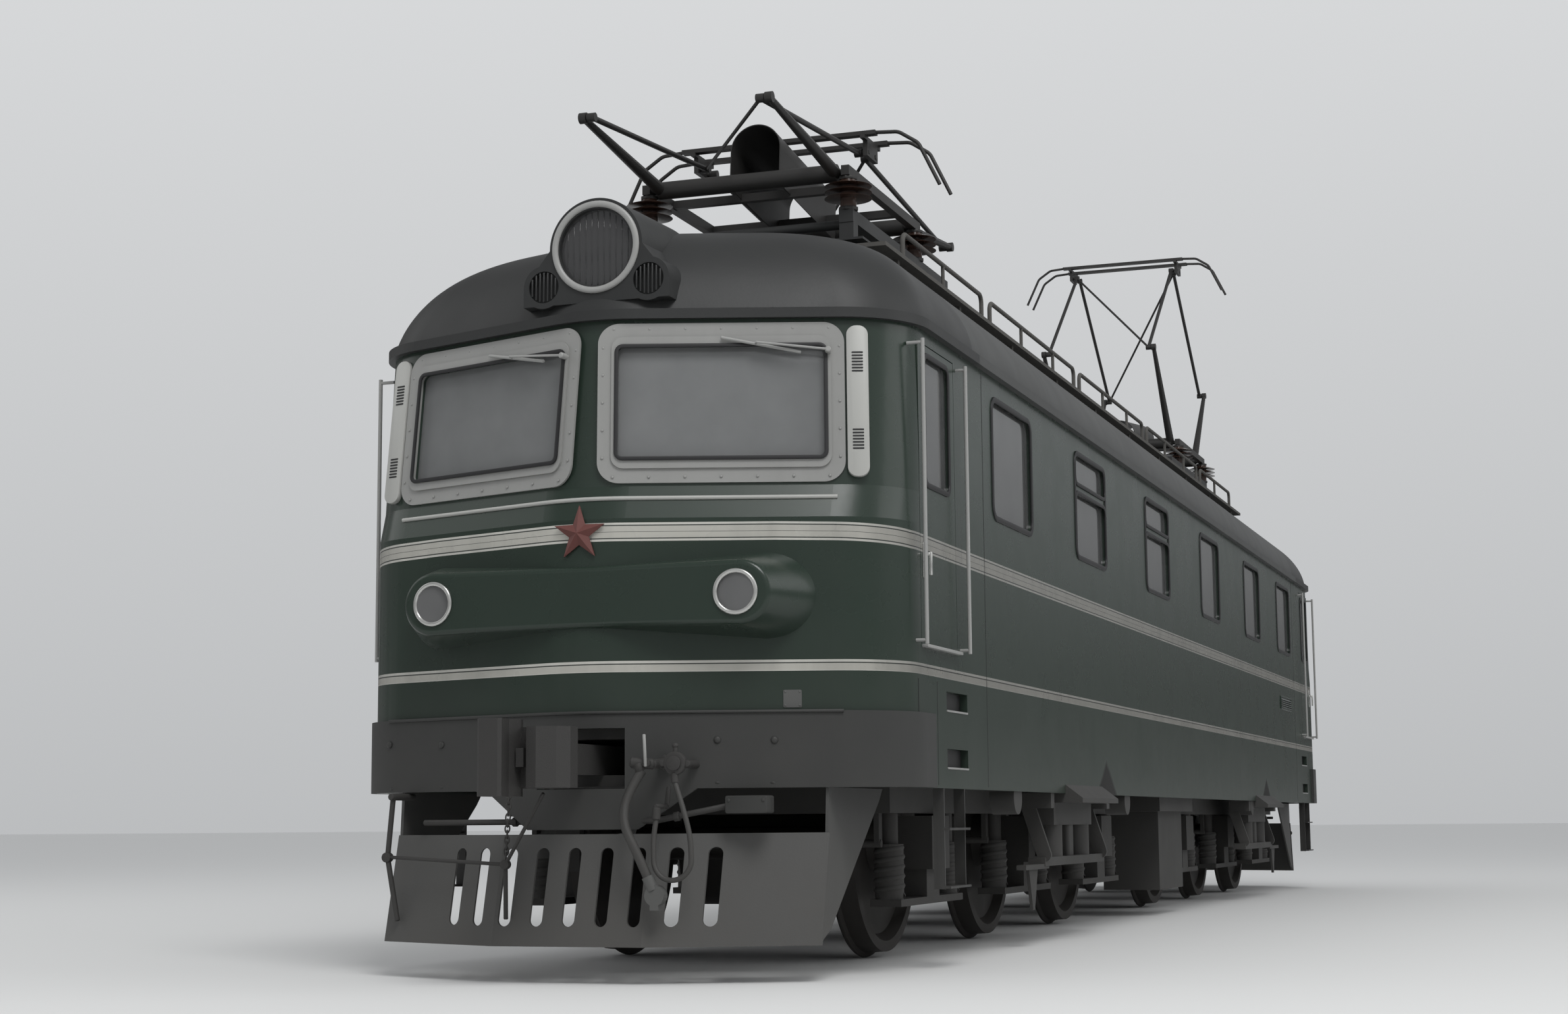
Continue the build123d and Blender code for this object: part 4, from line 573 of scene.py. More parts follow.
def slab(width, height, radius, depth, edge=0.0, segments=2, offset=1):
    """A plate with some thickness. With an edge, its rim is softened."""
    plate = rounded_plate(width, height, radius, segments)
    apply_modifier(plate, "SOLIDIFY", thickness=depth, offset=offset)
    if edge:
        soften(plate, edge)
    return plate


def rounded_ring(width, height, radius, band, depth, edge=0.004):
    """A frame with round corners: a plate whose middle is inset and taken out."""
    ring = rounded_plate(width, height, radius)
    with editing(ring):
        bpy.ops.mesh.inset(thickness=band)
        bpy.ops.mesh.delete(type="FACE")
    apply_modifier(ring, "SOLIDIFY", thickness=depth, offset=1)
    soften(ring, edge)
    return ring


def facing_side(side, y, z, out):
    """Place for a piece on a side wall: its face looks outwards and its top is up."""
    turn = Matrix(((0, 0, side), (side, 0, 0), (0, 1, 0))).to_4x4()
    return Matrix.Translation((side * out, y, z)) @ turn


def facing_end(end, x, z, out):
    """Place for a piece that looks straight out of an end."""
    turn = Matrix(((-end, 0, 0), (0, 0, end), (0, 1, 0))).to_4x4()
    return Matrix.Translation((x, end * out, z)) @ turn


def shifted(places, shifts):
    """Every place, moved by every shift along its own axes."""
    return [place @ Matrix.Translation(shift) for place in places for shift in shifts]


def copies_at(piece, places):
    """The piece set down at each place, every copy with its own mesh, joined into one piece."""
    made = []
    for place in places:
        copy = piece.copy()
        copy.data = piece.data.copy()
        bpy.context.scene.collection.objects.link(copy)
        copy.matrix_world = place
        made.append(copy)
    bpy.data.objects.remove(piece)
    return joined(made)


def joined(pieces):
    """Several pieces as one, with their places in the mesh."""
    bpy.ops.object.select_all(action="DESELECT")
    for piece in pieces:
        piece.select_set(True)
    bpy.context.view_layer.objects.active = pieces[0]
    bpy.ops.object.transform_apply(location=True, rotation=True, scale=True)
    if len(pieces) > 1:
        bpy.ops.object.join()
    return bpy.context.object


def hand_over(piece, name, material, slot, body="root", smooth=35):
    """Names a finished piece, paints it and lets it ride on its body."""
    settled(piece)
    if smooth:
        bpy.ops.object.shade_smooth_by_angle(angle=radians(smooth))
    piece.name = name
    piece.data.materials.clear()
    piece.data.materials.append(material)
    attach(piece, body)
    print(name, len(piece.data.polygons), "faces")
    return piece


def set_down(piece, places, name, material, slot, **settings):
    """Copies a piece to its places and hands the whole over."""
    return hand_over(copies_at(piece, places), name, material, slot, **settings)


def bolted(piece, places, head, shifts):
    """A piece at each place, with a round head at every shift on it."""
    return joined([copies_at(piece, places), copies_at(domed_head(head), shifted(places, shifts))])


def at_ends(x, z, out):
    """The same place at both ends, each looking straight out."""
    return [facing_end(end, x, z, out) for end in ENDS]


# %% [markdown]
# The nose isn't flat: it is swept back by 19 degrees and leans back above the belt. One function says how
# far out the skin lies at any place on it, and a second one gives the place that a piece on it takes.

# %% The nose's surface
# height, distance of the skin from the middle
NOSE_LEVELS = ((0.945, 8.784), (2.300, 8.784), (2.470, 8.725), (3.347, 8.634))
SWEEP = radians(19)
NOSE_R = 0.700
FLAT_HALF = 0.200


def nose_out(x, z):
    """Distance of the nose's skin from the middle of the engine, at a place across and a height."""
    out = NOSE_LEVELS[-1][1]
    for (low, low_out), (high, high_out) in zip(NOSE_LEVELS[:-1], NOSE_LEVELS[1:]):
        if low <= z <= high:
            out = low_out + (high_out - low_out) * (z - low) / (high - low)
    if abs(x) < NOSE_R * sin(SWEEP):
        return out - NOSE_R + sqrt(NOSE_R ** 2 - x ** 2)
    return out + NOSE_R * (1 / cos(SWEEP) - 1) - abs(x) * tan(SWEEP)


def on_nose(end, x, z, proud=0.0):
    """Place on the nose's skin: the piece's face looks outwards, square to the skin, with its top up."""
    low, high = nose_out(x, z - 0.05), nose_out(x, z + 0.05)
    lean = atan2(low - high, 0.1)
    sweep = SWEEP if abs(x) > FLAT_HALF else 0.0
    side = 1 if x > 0 else -1
    out = Vector((side * sin(sweep), end * cos(sweep), tan(lean))).normalized()
    across = Vector((0, 0, 1)).cross(out).normalized()
    up = out.cross(across)
    turn = Matrix((across, up, out)).transposed().to_4x4()
    spot = Vector((x, end * nose_out(x, z), z)) + out * proud
    return Matrix.Translation(spot) @ turn


# %% [markdown]
# ## Side window seals
# Each side window sits in a black rubber profile. On each side two of the six have a separate top light, so
# they get two seals and a strip of painted steel between them.

# %% Side window seals
WINDOW_Y = (-5.897, -3.690, -1.238, 1.238, 3.690, 5.897)
WINDOW_Z = 2.869
WINDOW_W, WINDOW_H = 0.970, 0.708
WALL_OUT = 1.530
whole_seal = rounded_ring(WINDOW_W + 0.03, WINDOW_H + 0.03, 0.100, 0.034, 0.012)
seal_places = [facing_side(side, y, WINDOW_Z, WALL_OUT - 0.004) for side in SIDES for y in WINDOW_Y]
set_down(whole_seal, seal_places, "side_window_seals", seal_rubber, "rubber_hose")

SPLIT_Z, BAR_H, SPLIT_Y = 2.983, 0.050, (-3.690, -1.238)


def in_split_windows(z):
    """The places of one height in the four split windows."""
    return [facing_side(side, side * y, z, WALL_OUT) for side in SIDES for y in SPLIT_Y]


bar = slab(WINDOW_W + 0.005, BAR_H, 0.004, 0.034, offset=-1)
set_down(bar, in_split_windows(SPLIT_Z), "top_light_bars", body_gloss, "body_paint")
LIGHTS = (
    # lower edge, upper edge, corner radius
    (WINDOW_Z - WINDOW_H / 2, SPLIT_Z - BAR_H / 2, 0.080),
    (SPLIT_Z + BAR_H / 2, WINDOW_Z + WINDOW_H / 2, 0.070),
)
light_seals = []
for low, high, corner in LIGHTS:
    light_seal = rounded_ring(WINDOW_W + 0.012, high - low + 0.02, corner, 0.026, 0.010)
    light_seals.append(copies_at(light_seal, in_split_windows((low + high) / 2)))
hand_over(joined(light_seals), "top_light_seals", seal_rubber, "rubber_hose")

# %% [markdown]
# ## Cab doors
# The doors have the same kind of seal, and a lever handle on a small plate near the free edge. Both ride
# on the door's own body, so they swing in with it.

# %% Cab door fittings
DOOR_Y, DOOR_WIN_Z = 7.560, 2.872
HANDLE_ALONG, HANDLE_Z = 0.285, 2.120
for end, end_name in NAMED_ENDS:
    for side, side_name in NAMED_SIDES:
        body = f"door_{end_name}_{side_name}"
        seal = rounded_ring(0.505, 0.725, 0.070, 0.030, 0.010)
        seal.matrix_world = facing_side(side, end * DOOR_Y, DOOR_WIN_Z, WALL_OUT - 0.002)
        hand_over(seal, f"door_seal_{end_name}_{side_name}", seal_rubber, "rubber_hose", body)
        plate = slab(0.045, 0.190, 0.012, 0.006, segments=3)
        with editing(plate):
            bpy.ops.mesh.primitive_cylinder_add(vertices=12, radius=0.011, depth=0.03,
                                                location=(0, 0.03, 0.02))
            bpy.ops.mesh.primitive_cylinder_add(vertices=12, radius=0.009, depth=0.12,
                                                location=(0, -0.02, 0.038), rotation=(pi / 2, 0, 0))
        soften(plate, 0.002)
        plate.matrix_world = facing_side(side, end * (DOOR_Y + HANDLE_ALONG), HANDLE_Z, WALL_OUT)
        hand_over(plate, f"door_handle_{end_name}_{side_name}", bright_ring, "reflector", body)

# %% [markdown]
# ## Sills, seams and foot holes
# Below each cab door a bright sill stands out from the wall, and two pockets in the skin take a boot. A
# plate of painted shade closes each pocket at its depth, and a light strip runs along its lower edge. The
# welded joints of the wall show as thin dark lines; a strip a millimetre thick is enough, because the eye
# reads only the line.

# %% Door sills, seams and foot holes
def by_each_cab(along, z, out):
    """The four places beside the cabs, at one distance along the wall from the middle and one height."""
    return [facing_side(side, end * along, z, out) for end in ENDS for side in SIDES]


DOOR_SILL_Z = 1.672
set_down(slab(0.690, 0.016, 0.003, 0.034, 0.003), by_each_cab(DOOR_Y, DOOR_SILL_Z, WALL_OUT),
         "door_sills", rail_paint, "trim_paint")

WALL_SEAMS = (
    # distance from the middle along the wall, bottom, top
    (6.600, 0.960, 3.330), (7.627, 0.960, 1.500), (7.978, 0.960, 1.500),
)
seams = [copies_at(slab(0.006, high - low, 0.002, 0.0015, segments=1),
                   by_each_cab(along, (low + high) / 2, WALL_OUT - 0.0005))
         for along, low, high in WALL_SEAMS]
hand_over(joined(seams), "wall_seams", seal_rubber, "black_paint", smooth=0)

FOOT_Y, FOOT_LEVELS = 7.240, (1.105, 1.408)
FOOT_W, FOOT_H, FOOT_DEEP = 0.420, 0.098, 0.045
# Painted shade: a near-black plate at the back of each pocket stands for the shade inside it.
pocket_shade_plates = [copies_at(slab(FOOT_W - 0.004, FOOT_H - 0.004, 0.004, 0.002),
                     by_each_cab(FOOT_Y, z, WALL_OUT - FOOT_DEEP + 0.001)) for z in FOOT_LEVELS]
hand_over(joined(pocket_shade_plates), "foot_hole_shade_plates", seal_rubber, "black_paint", smooth=0)
lips = [copies_at(slab(FOOT_W, 0.010, 0.003, 0.006),
                  by_each_cab(FOOT_Y, z - FOOT_H / 2 - 0.004, WALL_OUT - 0.002)) for z in FOOT_LEVELS]
hand_over(joined(lips), "foot_hole_lips", rail_paint, "trim_paint", smooth=0)

# %% [markdown]
# ## Low vent grille
# Near the rear on one side, and turned half round near the front on the other, a long grille lets air into
# the machine room. It is a frame with five slats that slope down over a dark plate of painted shade, which
# stands for the dark inside of the grille.

# %% Low vent grille
GRILLE_Y, GRILLE_Z = 5.880, 1.978
GRILLE_W, GRILLE_H = 0.790, 0.140
grille_frame = rounded_ring(GRILLE_W, GRILLE_H, 0.014, 0.016, 0.010, 0.002)
# Painted shade: the dark plate behind the slats stands for the dark inside of the grille.
grille_shade_plate = slab(GRILLE_W - 0.02, GRILLE_H - 0.02, 0.010, 0.002, segments=3)
LOUVRE_LEAN = Matrix.Rotation(radians(-35), 4, "X")
louvres = copies_at(slab(GRILLE_W - 0.03, 0.026, 0.003, 0.002),
                    [Matrix.Translation((0, row * 0.0205, 0.005)) @ LOUVRE_LEAN for row in range(-2, 3)])
grille_places = [facing_side(side, side * GRILLE_Y, GRILLE_Z, WALL_OUT) for side in SIDES]
hand_over(joined([copies_at(grille_frame, grille_places), copies_at(louvres, grille_places)]),
          "low_vent_grilles", body_gloss, "body_paint")
set_down(grille_shade_plate, grille_places, "low_vent_shade_plates", seal_rubber, "black_paint", smooth=0)

# %% [markdown]
# ## Windscreens
# The light frames round the windscreens are held by round-headed rivets, and the glass sits in a thin
# black seal.

# %% Windscreen seals and rivets
SCREEN_X, SCREEN_Z = 0.655, 2.903
SCREEN_W, SCREEN_H = 1.076, 0.600
FRAME_W, FRAME_H = SCREEN_W + 0.188, SCREEN_H + 0.244
screen_places = [on_nose(end, side * SCREEN_X, SCREEN_Z) for end in ENDS for side in SIDES]
gasket = rounded_ring(SCREEN_W + 0.016, SCREEN_H + 0.016, 0.044, 0.020, 0.010, 0.002)
set_down(gasket, shifted(screen_places, [(0, 0, 0.024)]), "windscreen_seals", seal_rubber, "rubber_hose")


def domed_head(radius, segments=10):
    """The head of a rivet or a round bolt, standing on z = 0."""
    head = added(bpy.ops.mesh.primitive_uv_sphere_add, segments=segments, ring_count=6, radius=radius)
    head.scale = (1, 1, 0.5)
    settled(head)
    with editing(head):
        bpy.ops.mesh.bisect(plane_co=(0, 0, -0.001), plane_no=(0, 0, 1), clear_inner=True, use_fill=True)
    return head


rivet_shifts = [(row * (FRAME_W - 0.16) / 6, up * (FRAME_H / 2 - 0.030), 0.013)
                for row in range(-3, 4) for up in (-1, 1)]
rivet_shifts += [(out * (FRAME_W / 2 - 0.026), row * (FRAME_H - 0.26) / 4, 0.013)
                 for row in range(-2, 3) for out in (-1, 1)]
set_down(domed_head(0.0075), shifted(screen_places, rivet_shifts), "windscreen_rivets", frame_satin,
         "trim_paint", smooth=60)

# %% [markdown]
# The wipers hang from the top frame, with the blade parked along the upper edge. Each is four round bars: a
# spindle, the arm, the blade and the pin between them.

# %% Wipers
def round_piece(centre, axis, radius, depth, vertices, edge, segments):
    """A cylinder along an axis, with softened rims."""
    piece = added(bpy.ops.mesh.primitive_cylinder_add, vertices=vertices, radius=radius, depth=depth)
    soften(piece, edge, segments)
    piece.matrix_world = Matrix.Translation(centre) @ axis.to_track_quat("Z", "Y").to_matrix().to_4x4()
    return settled(piece)


def tube_between(start, stop, radius, vertices=10):
    """A capped round bar from one point to another."""
    start, stop = Vector(start), Vector(stop)
    run = stop - start
    return round_piece((start + stop) / 2, run, radius, run.length, vertices, radius * 0.3, 1)


wiper = joined([
    tube_between((0.548, 0.262, 0.0), (0.548, 0.262, 0.055), 0.016, 12),
    tube_between((0.548, 0.262, 0.048), (0.180, 0.300, 0.058), 0.007),
    tube_between((0.000, 0.335, 0.030), (0.410, 0.252, 0.030), 0.009),
    tube_between((0.180, 0.298, 0.030), (0.180, 0.300, 0.058), 0.006),
])
set_down(wiper, shifted(screen_places, [(0, 0, 0.012)]), "windscreen_wipers", rail_paint, "trim_paint")

# %% [markdown]
# ## Vent strips
# Beside the outer edge of each windscreen stands a light pressed strip with two groups of louvres. The strip
# is a long plate with round ends. From a few steps away a louvre is only its dark slot, so a thin plate of
# painted shade stands for each.

# %% Vent strips with louvres
VENT_X, VENT_Z = 1.315, 2.905
vent_places = shifted([on_nose(end, side * VENT_X, VENT_Z) for end in ENDS for side in SIDES],
                      [(0, 0, -0.012)])
set_down(slab(0.112, 0.800, 0.050, 0.030, 0.004, segments=8), vent_places,
         "vent_strips", trim_satin, "trim_paint")
# Painted shade: each louvre is a thin near-black plate that stands for the shade in its opening.
slot_shifts = [(0, middle + row * 0.0165, 0.0302) for middle in (0.205, -0.205) for row in range(-3, 4)]
set_down(slab(0.058, 0.008, 0.003, 0.002), shifted(vent_places, slot_shifts),
         "vent_slot_shades", seal_rubber, "rubber_hose", smooth=0)

# %% [markdown]
# ## Lamps
# The two marker lamps have bright turned rings, and the headlight has a painted one. A ring is a torus
# pressed a little flat. The headlight's glass is fluted, and the horns beside it sit behind round grilles:
# upright bars in a circle make both.

# %% Lamp rings, flutes and horn grilles
LAMP_X, HEADLIGHT_Z = 0.832, 3.751
LAMP_TILT = radians(4.7)
LAMP_RINGS = (
    # x, z, out, ring radius, thickness
    (LAMP_X, 1.902, 8.780, 0.104, 0.011), (-LAMP_X, 1.902, 8.780, 0.104, 0.011),
    (0.0, HEADLIGHT_Z, 8.604, 0.229, 0.0175),
)
ring_pieces = []
for x, z, out, ring_r, thick in LAMP_RINGS:
    ring = added(bpy.ops.mesh.primitive_torus_add, major_segments=64, minor_segments=12, major_radius=ring_r,
                 minor_radius=thick)
    with editing(ring):
        bpy.ops.transform.resize(value=(1, 1, 0.75))
    ring_pieces.append(copies_at(ring, [
        facing_end(end, x, z, out) @ Matrix.Rotation(-end * LAMP_TILT * x / LAMP_X, 4, "Y") for end in ENDS]))
hand_over(ring_pieces.pop(), "headlight_rings", rail_paint, "trim_paint", smooth=60)
hand_over(joined(ring_pieces), "lamp_rings", bright_ring, "reflector", smooth=60)


def bars_in_circle(each_way, pitch, circle, short, radius):
    """Upright bars side by side that fill a circle, each ending a little short of it."""
    bars = []
    for column in range(-each_way, each_way + 1):
        across = column * pitch
        reach = sqrt(circle ** 2 - across ** 2) - short
        bars.append(tube_between((across, -reach, 0), (across, reach, 0), radius, 8))
    return joined(bars)


LENS_OUT = 8.570
set_down(bars_in_circle(5, 0.034, 0.195, 0.0, 0.0035), at_ends(0, HEADLIGHT_Z, LENS_OUT),
         "headlight_flutes", dusty_glass, "glazing", smooth=60)
HORN_X, HORN_Z, HORN_OUT = 0.296, 3.561, 8.598
horn_places = at_ends(-HORN_X, HORN_Z, HORN_OUT) + at_ends(HORN_X, HORN_Z, HORN_OUT)
set_down(bars_in_circle(3, 0.022, 0.083, 0.004, 0.0055), horn_places, "horn_grilles", roof_grey, "roof_paint")

# %% [markdown]
# ## What is bolted to the beam
# The beam round the nose carries the heads of its bolts, a strap beside the coupler and a small blank
# plate. They keep the places that they have at the front, and are turned half round for the rear.

# %% Bolts, straps and plates on the beam
BEAM_PROUD = 0.030
BEAM_BOLTS = (
    # across, height
    (-1.258, 1.198), (-0.882, 1.187), (-1.241, 0.985), (-0.879, 0.988),
    (0.665, 1.182), (0.933, 1.179), (0.664, 0.991), (0.924, 0.989),
)
bolt_places = [on_nose(end, -end * x, z, BEAM_PROUD) for end in ENDS for x, z in BEAM_BOLTS]
set_down(domed_head(0.019, 12), bolt_places, "beam_bolts", beam_black, "black_paint", smooth=60)

strap_places = [on_nose(end, end * 0.496, 1.134, BEAM_PROUD - 0.001) for end in ENDS]
straps = bolted(slab(0.091, 0.368, 0.008, 0.008, 0.002, segments=3), strap_places, 0.014,
                [(0, up * 0.150, 0.008) for up in (-1, 1)])
hand_over(straps, "beam_straps", beam_black, "black_paint")

blank_places = [on_nose(end, -end * 1.020, 1.385) for end in ENDS]
blanks = bolted(slab(0.092, 0.088, 0.006, 0.004, segments=3), blank_places, 0.006,
                [(across * 0.036, up * 0.034, 0.004) for across in (-1, 1) for up in (-1, 1)])
hand_over(blanks, "blank_plates", plate_grey, "trim_paint")

# %% [markdown]
# ## Rigging below the beam
# Here hang the parts that shunters handle: the cock of the brake hose with its upright handle, the flat tap
# of the second hose, the uncoupling lever with its rods, and a short chain. Each is put together from bars
# and discs, as the real ones are, and the whole set stands in for the plain solids of the model.

# %% Bars, discs and a chain
def end_at(end, x, out, z):
    """A place at an end: across as seen at the front, distance from the middle, height."""
    return Vector((-end * x, end * out, z))


def disc_at(centre, axis, radius, depth, vertices=28, edge=0.003):
    """A flat round piece with softened edges."""
    return round_piece(centre, Vector(axis), radius, depth, vertices, edge, 2)


def chain_between(start, stop, pitch=0.029, wire=0.0040):
    """Oval links from one point to another, every second one turned by a quarter."""
    start, stop = Vector(start), Vector(stop)
    run = stop - start
    count = max(2, round(run.length / pitch))
    link = added(bpy.ops.mesh.primitive_torus_add, major_segments=14, minor_segments=6, major_radius=0.0115,
                 minor_radius=wire)
    with editing(link):
        bpy.ops.transform.resize(value=(1, 1.7, 1))
    along = run.to_track_quat("Y", "Z").to_matrix().to_4x4()
    quarter = Matrix.Rotation(pi / 2, 4, "Y")
    places = [Matrix.Translation(start + run * (step + 0.5) / count) @ along for step in range(count)]
    return copies_at(link, [place @ quarter if step % 2 else place for step, place in enumerate(places)])


# %% [markdown]
# The rigging is listed as it is seen at the front: across, distance from the middle of the engine, height.
# The same list, turned half round, gives the rear end.

# %% Cocks, lever and rods
rigging, handles = [], []
for end in ENDS:
    def bar(first, second, radius, vertices=14):
        return tube_between(end_at(end, *first), end_at(end, *second), radius, vertices)

    def disc(centre, radius, depth, vertices, edge=0.003, axis=(0, 1, 0)):
        return disc_at(end_at(end, *centre), end_at(end, *axis), radius, depth, vertices, edge)

    # brake cock: nut on the hose, body, pipe back to the beam, handle
    rigging += [
        bar((0.392, 8.914, 1.026), (0.371, 8.927, 1.066), 0.031, 6),
        bar((0.335, 8.930, 1.070), (0.452, 8.896, 1.060), 0.027),
        bar((0.440, 8.905, 1.061), (0.440, 8.660, 1.075), 0.023),
        disc((0.440, 8.735, 1.071), 0.040, 0.020, 6),
        disc((0.425, 8.927, 1.064), 0.022, 0.036, 6),
    ]
    handles.append(bar((0.426, 8.950, 1.048), (0.419, 8.952, 1.205), 0.0085, 8))
    # tap of the second hose: disc with two ears, knob on top, pipe back to the beam
    rigging += [
        disc((0.572, 8.925, 1.062), 0.057, 0.034, 32, 0.006),
        disc((0.572, 8.945, 1.062), 0.036, 0.020, 24),
        disc((0.508, 8.925, 1.064), 0.016, 0.026, 14),
        disc((0.636, 8.925, 1.060), 0.016, 0.026, 14),
        bar((0.572, 8.925, 1.110), (0.572, 8.925, 1.142), 0.012),
        bar((0.572, 8.925, 1.138), (0.572, 8.925, 1.158), 0.018, 6),
        bar((0.572, 8.920, 1.062), (0.572, 8.640, 1.062), 0.021),
        bar((0.572, 8.930, 0.964), (0.569, 8.926, 1.020), 0.019),
    ]
    # rest for the second hose's end, on its bracket
    rigging += [
        bar((0.477, 8.940, 0.788), (0.479, 8.936, 0.850), 0.021),
        bar((0.479, 8.950, 0.856), (0.479, 8.800, 0.856), 0.013, 8),
        bar((0.479, 8.810, 0.852), (0.479, 8.780, 0.950), 0.013, 8),
    ]
    # uncoupling lever with its bracket, rods, pendant and chain
    rigging += [
        bar((-1.130, 8.620, 0.930), (-1.160, 8.620, 0.606), 0.014),
        bar((-1.160, 8.620, 0.612), (-1.098, 8.620, 0.285), 0.014),
        disc((-1.160, 8.620, 0.610), 0.026, 0.040, 20),
        bar((-1.130, 8.650, 0.921), (-1.130, 8.400, 0.921), 0.020, 10),
        bar((-1.160, 8.620, 0.612), (-0.330, 8.935, 0.578), 0.010, 10),
        bar((-0.020, 9.160, 0.922), (-0.330, 8.935, 0.578), 0.010, 10),
        bar((-0.330, 8.935, 0.578), (-0.326, 8.935, 0.310), 0.012, 10),
        disc((-0.330, 8.935, 0.578), 0.024, 0.036, 20),
        chain_between(end_at(end, -0.378, 8.800, 0.934), end_at(end, -0.333, 8.925, 0.600)),
    ]
    # air pipe under the beam, and the little drain box that it ends in
    rigging += [
        bar((-0.980, 8.560, 0.786), (0.395, 8.740, 0.786), 0.016, 12),
        bar((0.390, 8.740, 0.786), (0.770, 8.700, 0.858), 0.016, 12),
        disc((-0.420, 8.640, 0.786), 0.024, 0.030, 6, axis=(1, 0.13, 0)),
        disc((0.500, 8.730, 0.806), 0.024, 0.030, 6, axis=(1, 0, 0.19)),
    ]
whole_rigging = joined(rigging)
hand_over(whole_rigging, "end_rigging", cast_dark, "cast_gear", smooth=40)
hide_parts("end_fittings")
hand_over(joined(handles), "cock_handles", rail_paint, "trim_paint", smooth=50)

drain_places = [facing_end(end, -end * 0.872, 0.862, 8.755) for end in ENDS]
drains = bolted(slab(0.215, 0.086, 0.010, 0.110, 0.006, segments=3, offset=-1), drain_places, 0.010,
                [(across * 0.090, 0.020, 0) for across in (-1, 1)])
hand_over(drains, "drain_boxes", beam_black, "black_paint")

# %% [markdown]
# ## The star and the thin mouldings
# A five-pointed star in relief sits on the broad trim band: ten points on two circles, with the middle lifted
# so that each arm has a ridge.

# %% Star
STAR_R, STAR_INNER, STAR_RIDGE = 0.144, 0.40, 0.034
STAR_Z, STAR_OUT = 2.226, 8.798
star = added(bpy.ops.mesh.primitive_circle_add, vertices=10, radius=STAR_R, fill_type="TRIFAN")
with editing(star):
    star_mesh = bmesh.from_edit_mesh(star.data)
    rim = sorted((v for v in star_mesh.verts if v.co.length > 0.01), key=lambda v: atan2(v.co.x, v.co.y))
    for vertex in star_mesh.verts:
        if vertex.co.length < 0.01:
            vertex.co.z = STAR_RIDGE
    for index, vertex in enumerate(rim):
        angle = index * 2 * pi / 10 - pi
        reach = STAR_R if index % 2 == 1 else STAR_R * STAR_INNER
        vertex.co = (reach * sin(angle), reach * cos(angle), 0)
    bmesh.update_edit_mesh(star.data)
    bpy.ops.mesh.normals_make_consistent(inside=False)
apply_modifier(star, "SOLIDIFY", thickness=0.014, offset=-1)
set_down(star, at_ends(0, STAR_Z, STAR_OUT), "nose_stars", star_red, "body_paint", smooth=0)

# %% [markdown]
# Under the windscreens runs a thin round moulding that stops short of the corners, and a second one makes the
# lip along the top of the beam. Each is a line through points on the nose's skin, turned into a mesh.

# %% Thin moulding below the windscreens, lip along the beam
BEAD_STEPS = 40


def nose_bead(height, half_length, radius, proud):
    """A round bead that follows the nose at one height, at both ends."""
    marks = [half_length * (2 * step / BEAD_STEPS - 1) for step in range(BEAD_STEPS + 1)]
    runs = []
    for end in ENDS:
        points = [(x, end * (nose_out(x, height) + proud), height) for x in marks]
        only(round_line("bead", "POLY", radius, 2, points)[0])
        bpy.ops.object.convert(target="MESH")
        runs.append(bpy.context.object)
    return joined(runs)


hand_over(nose_bead(2.405, 1.232, 0.011, 0.003), "nose_mouldings", trim_satin, "trim_paint", smooth=50)
hand_over(nose_bead(1.322, 1.270, 0.009, BEAM_PROUD + 0.003), "beam_lips", beam_black, "black_paint",
          smooth=50)

# %% [markdown]
# ## Insulators
# The pantographs stand on brown glazed insulators. A shed is a cone with a rounded rim, so rain drips off its
# edge and the path for a spark grows. The Screw modifier could turn a whole profile, but turned pieces are
# easier to place: the body, three sheds close together below the frame, and a metal cap at each end.

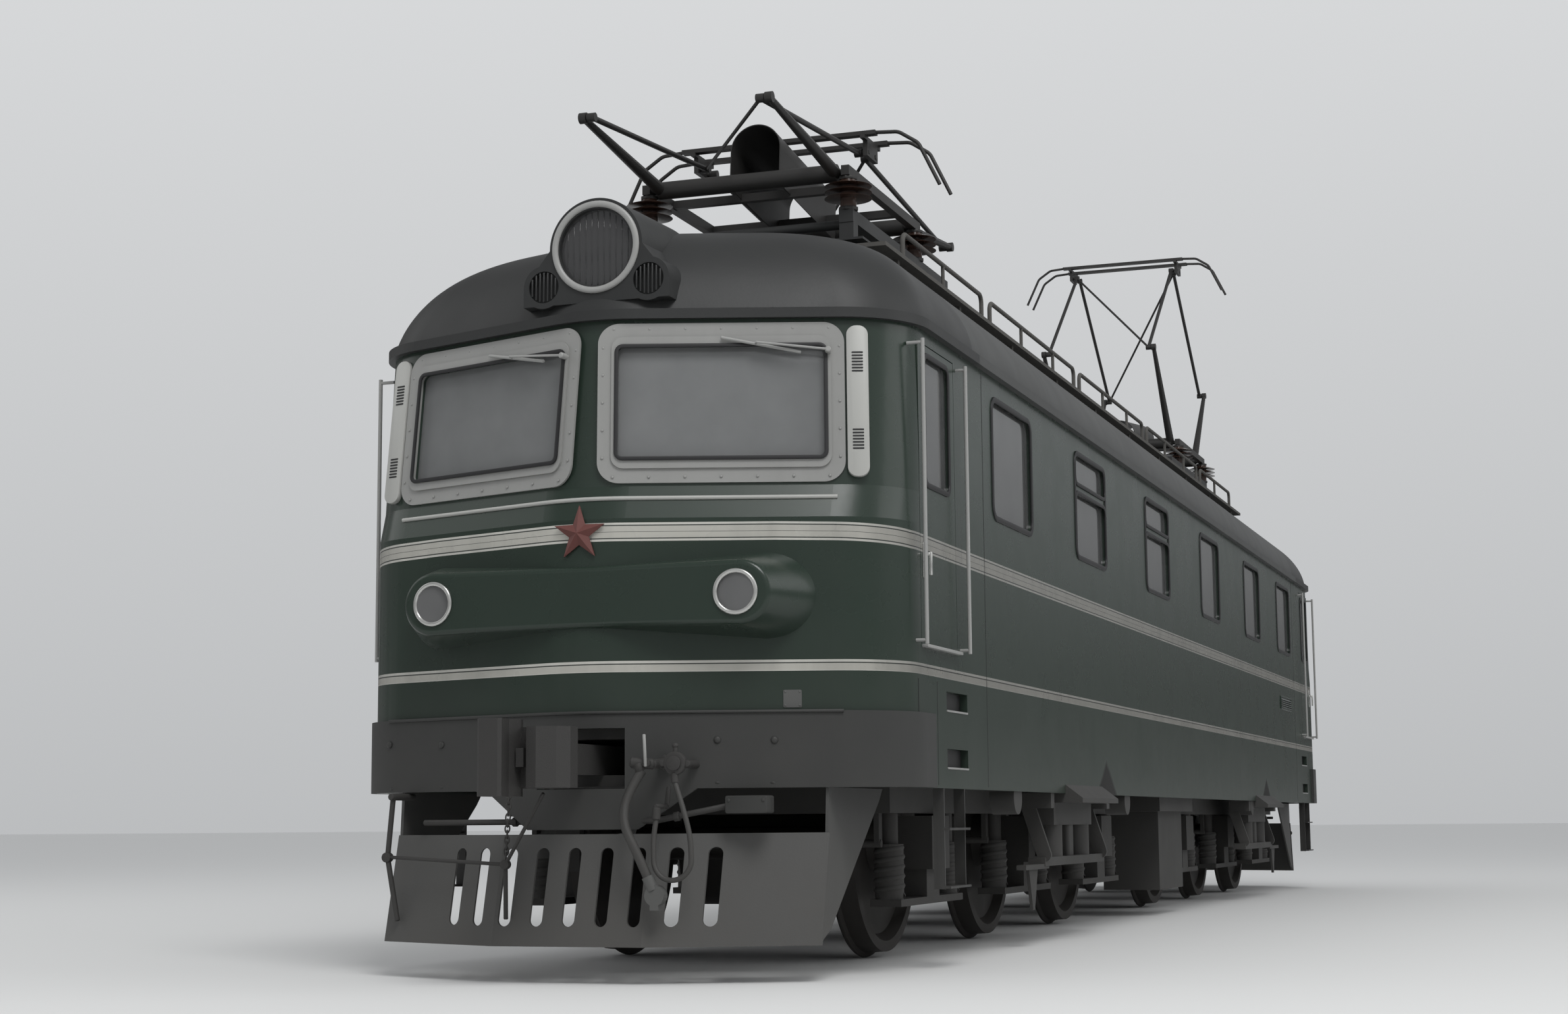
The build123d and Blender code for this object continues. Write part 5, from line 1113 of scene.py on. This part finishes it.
# %% Roof insulators
MOUNT_X, PANTO_Y, MOUNT_HALF = 0.650, 5.600, 0.710
LOW_CAP, HIGH_CAP = 4.440, 4.650
SHED_HEIGHTS = (4.526, 4.564, 4.602)
UPRIGHT = (0, 0, 1)
stack = [disc_at((0, 0, (LOW_CAP + HIGH_CAP) / 2), UPRIGHT, 0.050, HIGH_CAP - LOW_CAP)]
for z in SHED_HEIGHTS:
    shed = added(bpy.ops.mesh.primitive_cone_add, vertices=36, radius1=0.148, radius2=0.060, depth=0.030,
                 location=(0, 0, z))
    soften(shed, 0.006, 3)
    stack.append(shed)
insulator_places = [Matrix.Translation((side * MOUNT_X, end * PANTO_Y + along, 0))
                    for end in ENDS for side in SIDES for along in (-MOUNT_HALF, MOUNT_HALF)]
glazed = set_down(joined(stack), insulator_places, "glazed_insulators", brown_glaze, "ceramic_brown",
                  smooth=40)
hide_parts("roof_insulators")
caps = joined([disc_at((0, 0, LOW_CAP + 0.008), UPRIGHT, 0.062, 0.022, 8),
               disc_at((0, 0, HIGH_CAP - 0.011), UPRIGHT, 0.058, 0.020, 8)])
set_down(caps, insulator_places, "insulator_caps", panto_dark, "panto_paint", smooth=40)

# %% [markdown]
# ## Coil springs
# The springs beside every axlebox are seen as stacks of thick coils. A coil is one small circle that the
# Screw modifier winds round an upright axis. One is wound for each bogie and copied to its twelve places.

# %% Coil springs
def coil(radius, wire, height, turns, steps=18):
    """A wound spring that stands on z = 0."""
    spring = added(bpy.ops.mesh.primitive_circle_add, vertices=8, radius=wire, location=(radius, 0, wire),
                   rotation=(pi / 2, 0, 0))
    settled(spring)
    around = int(steps * turns)
    apply_modifier(spring, "SCREW", angle=2 * pi * turns, screw_offset=height - 2 * wire, iterations=1,
                   steps=around, render_steps=around, axis="Z")
    with editing(spring):
        bpy.ops.mesh.normals_make_consistent(inside=False)
    return spring


SPRING_X, SPRING_HALF, SPRING_LOW = 1.050, 0.560, 0.350
BOGIE_Y, AXLES = 4.100, (-2.300, 0.0, 2.300)
for end, end_name in NAMED_ENDS:
    spots = [Matrix.Translation((side * SPRING_X, end * BOGIE_Y + axle + along, SPRING_LOW))
             for axle in AXLES for side in SIDES for along in (-SPRING_HALF, SPRING_HALF)]
    set_down(coil(0.070, 0.018, 0.300, 5), spots, f"axle_springs_{end_name}", gear_black, "gear_paint",
             body=f"bogie_{end_name}", smooth=60)

# %% [markdown]
# ## Finish
# The view transform is set to Standard. The dressed engine has to stay inside the solid
# model's box.

# %% Finish
bpy.context.scene.view_settings.view_transform = "Standard"
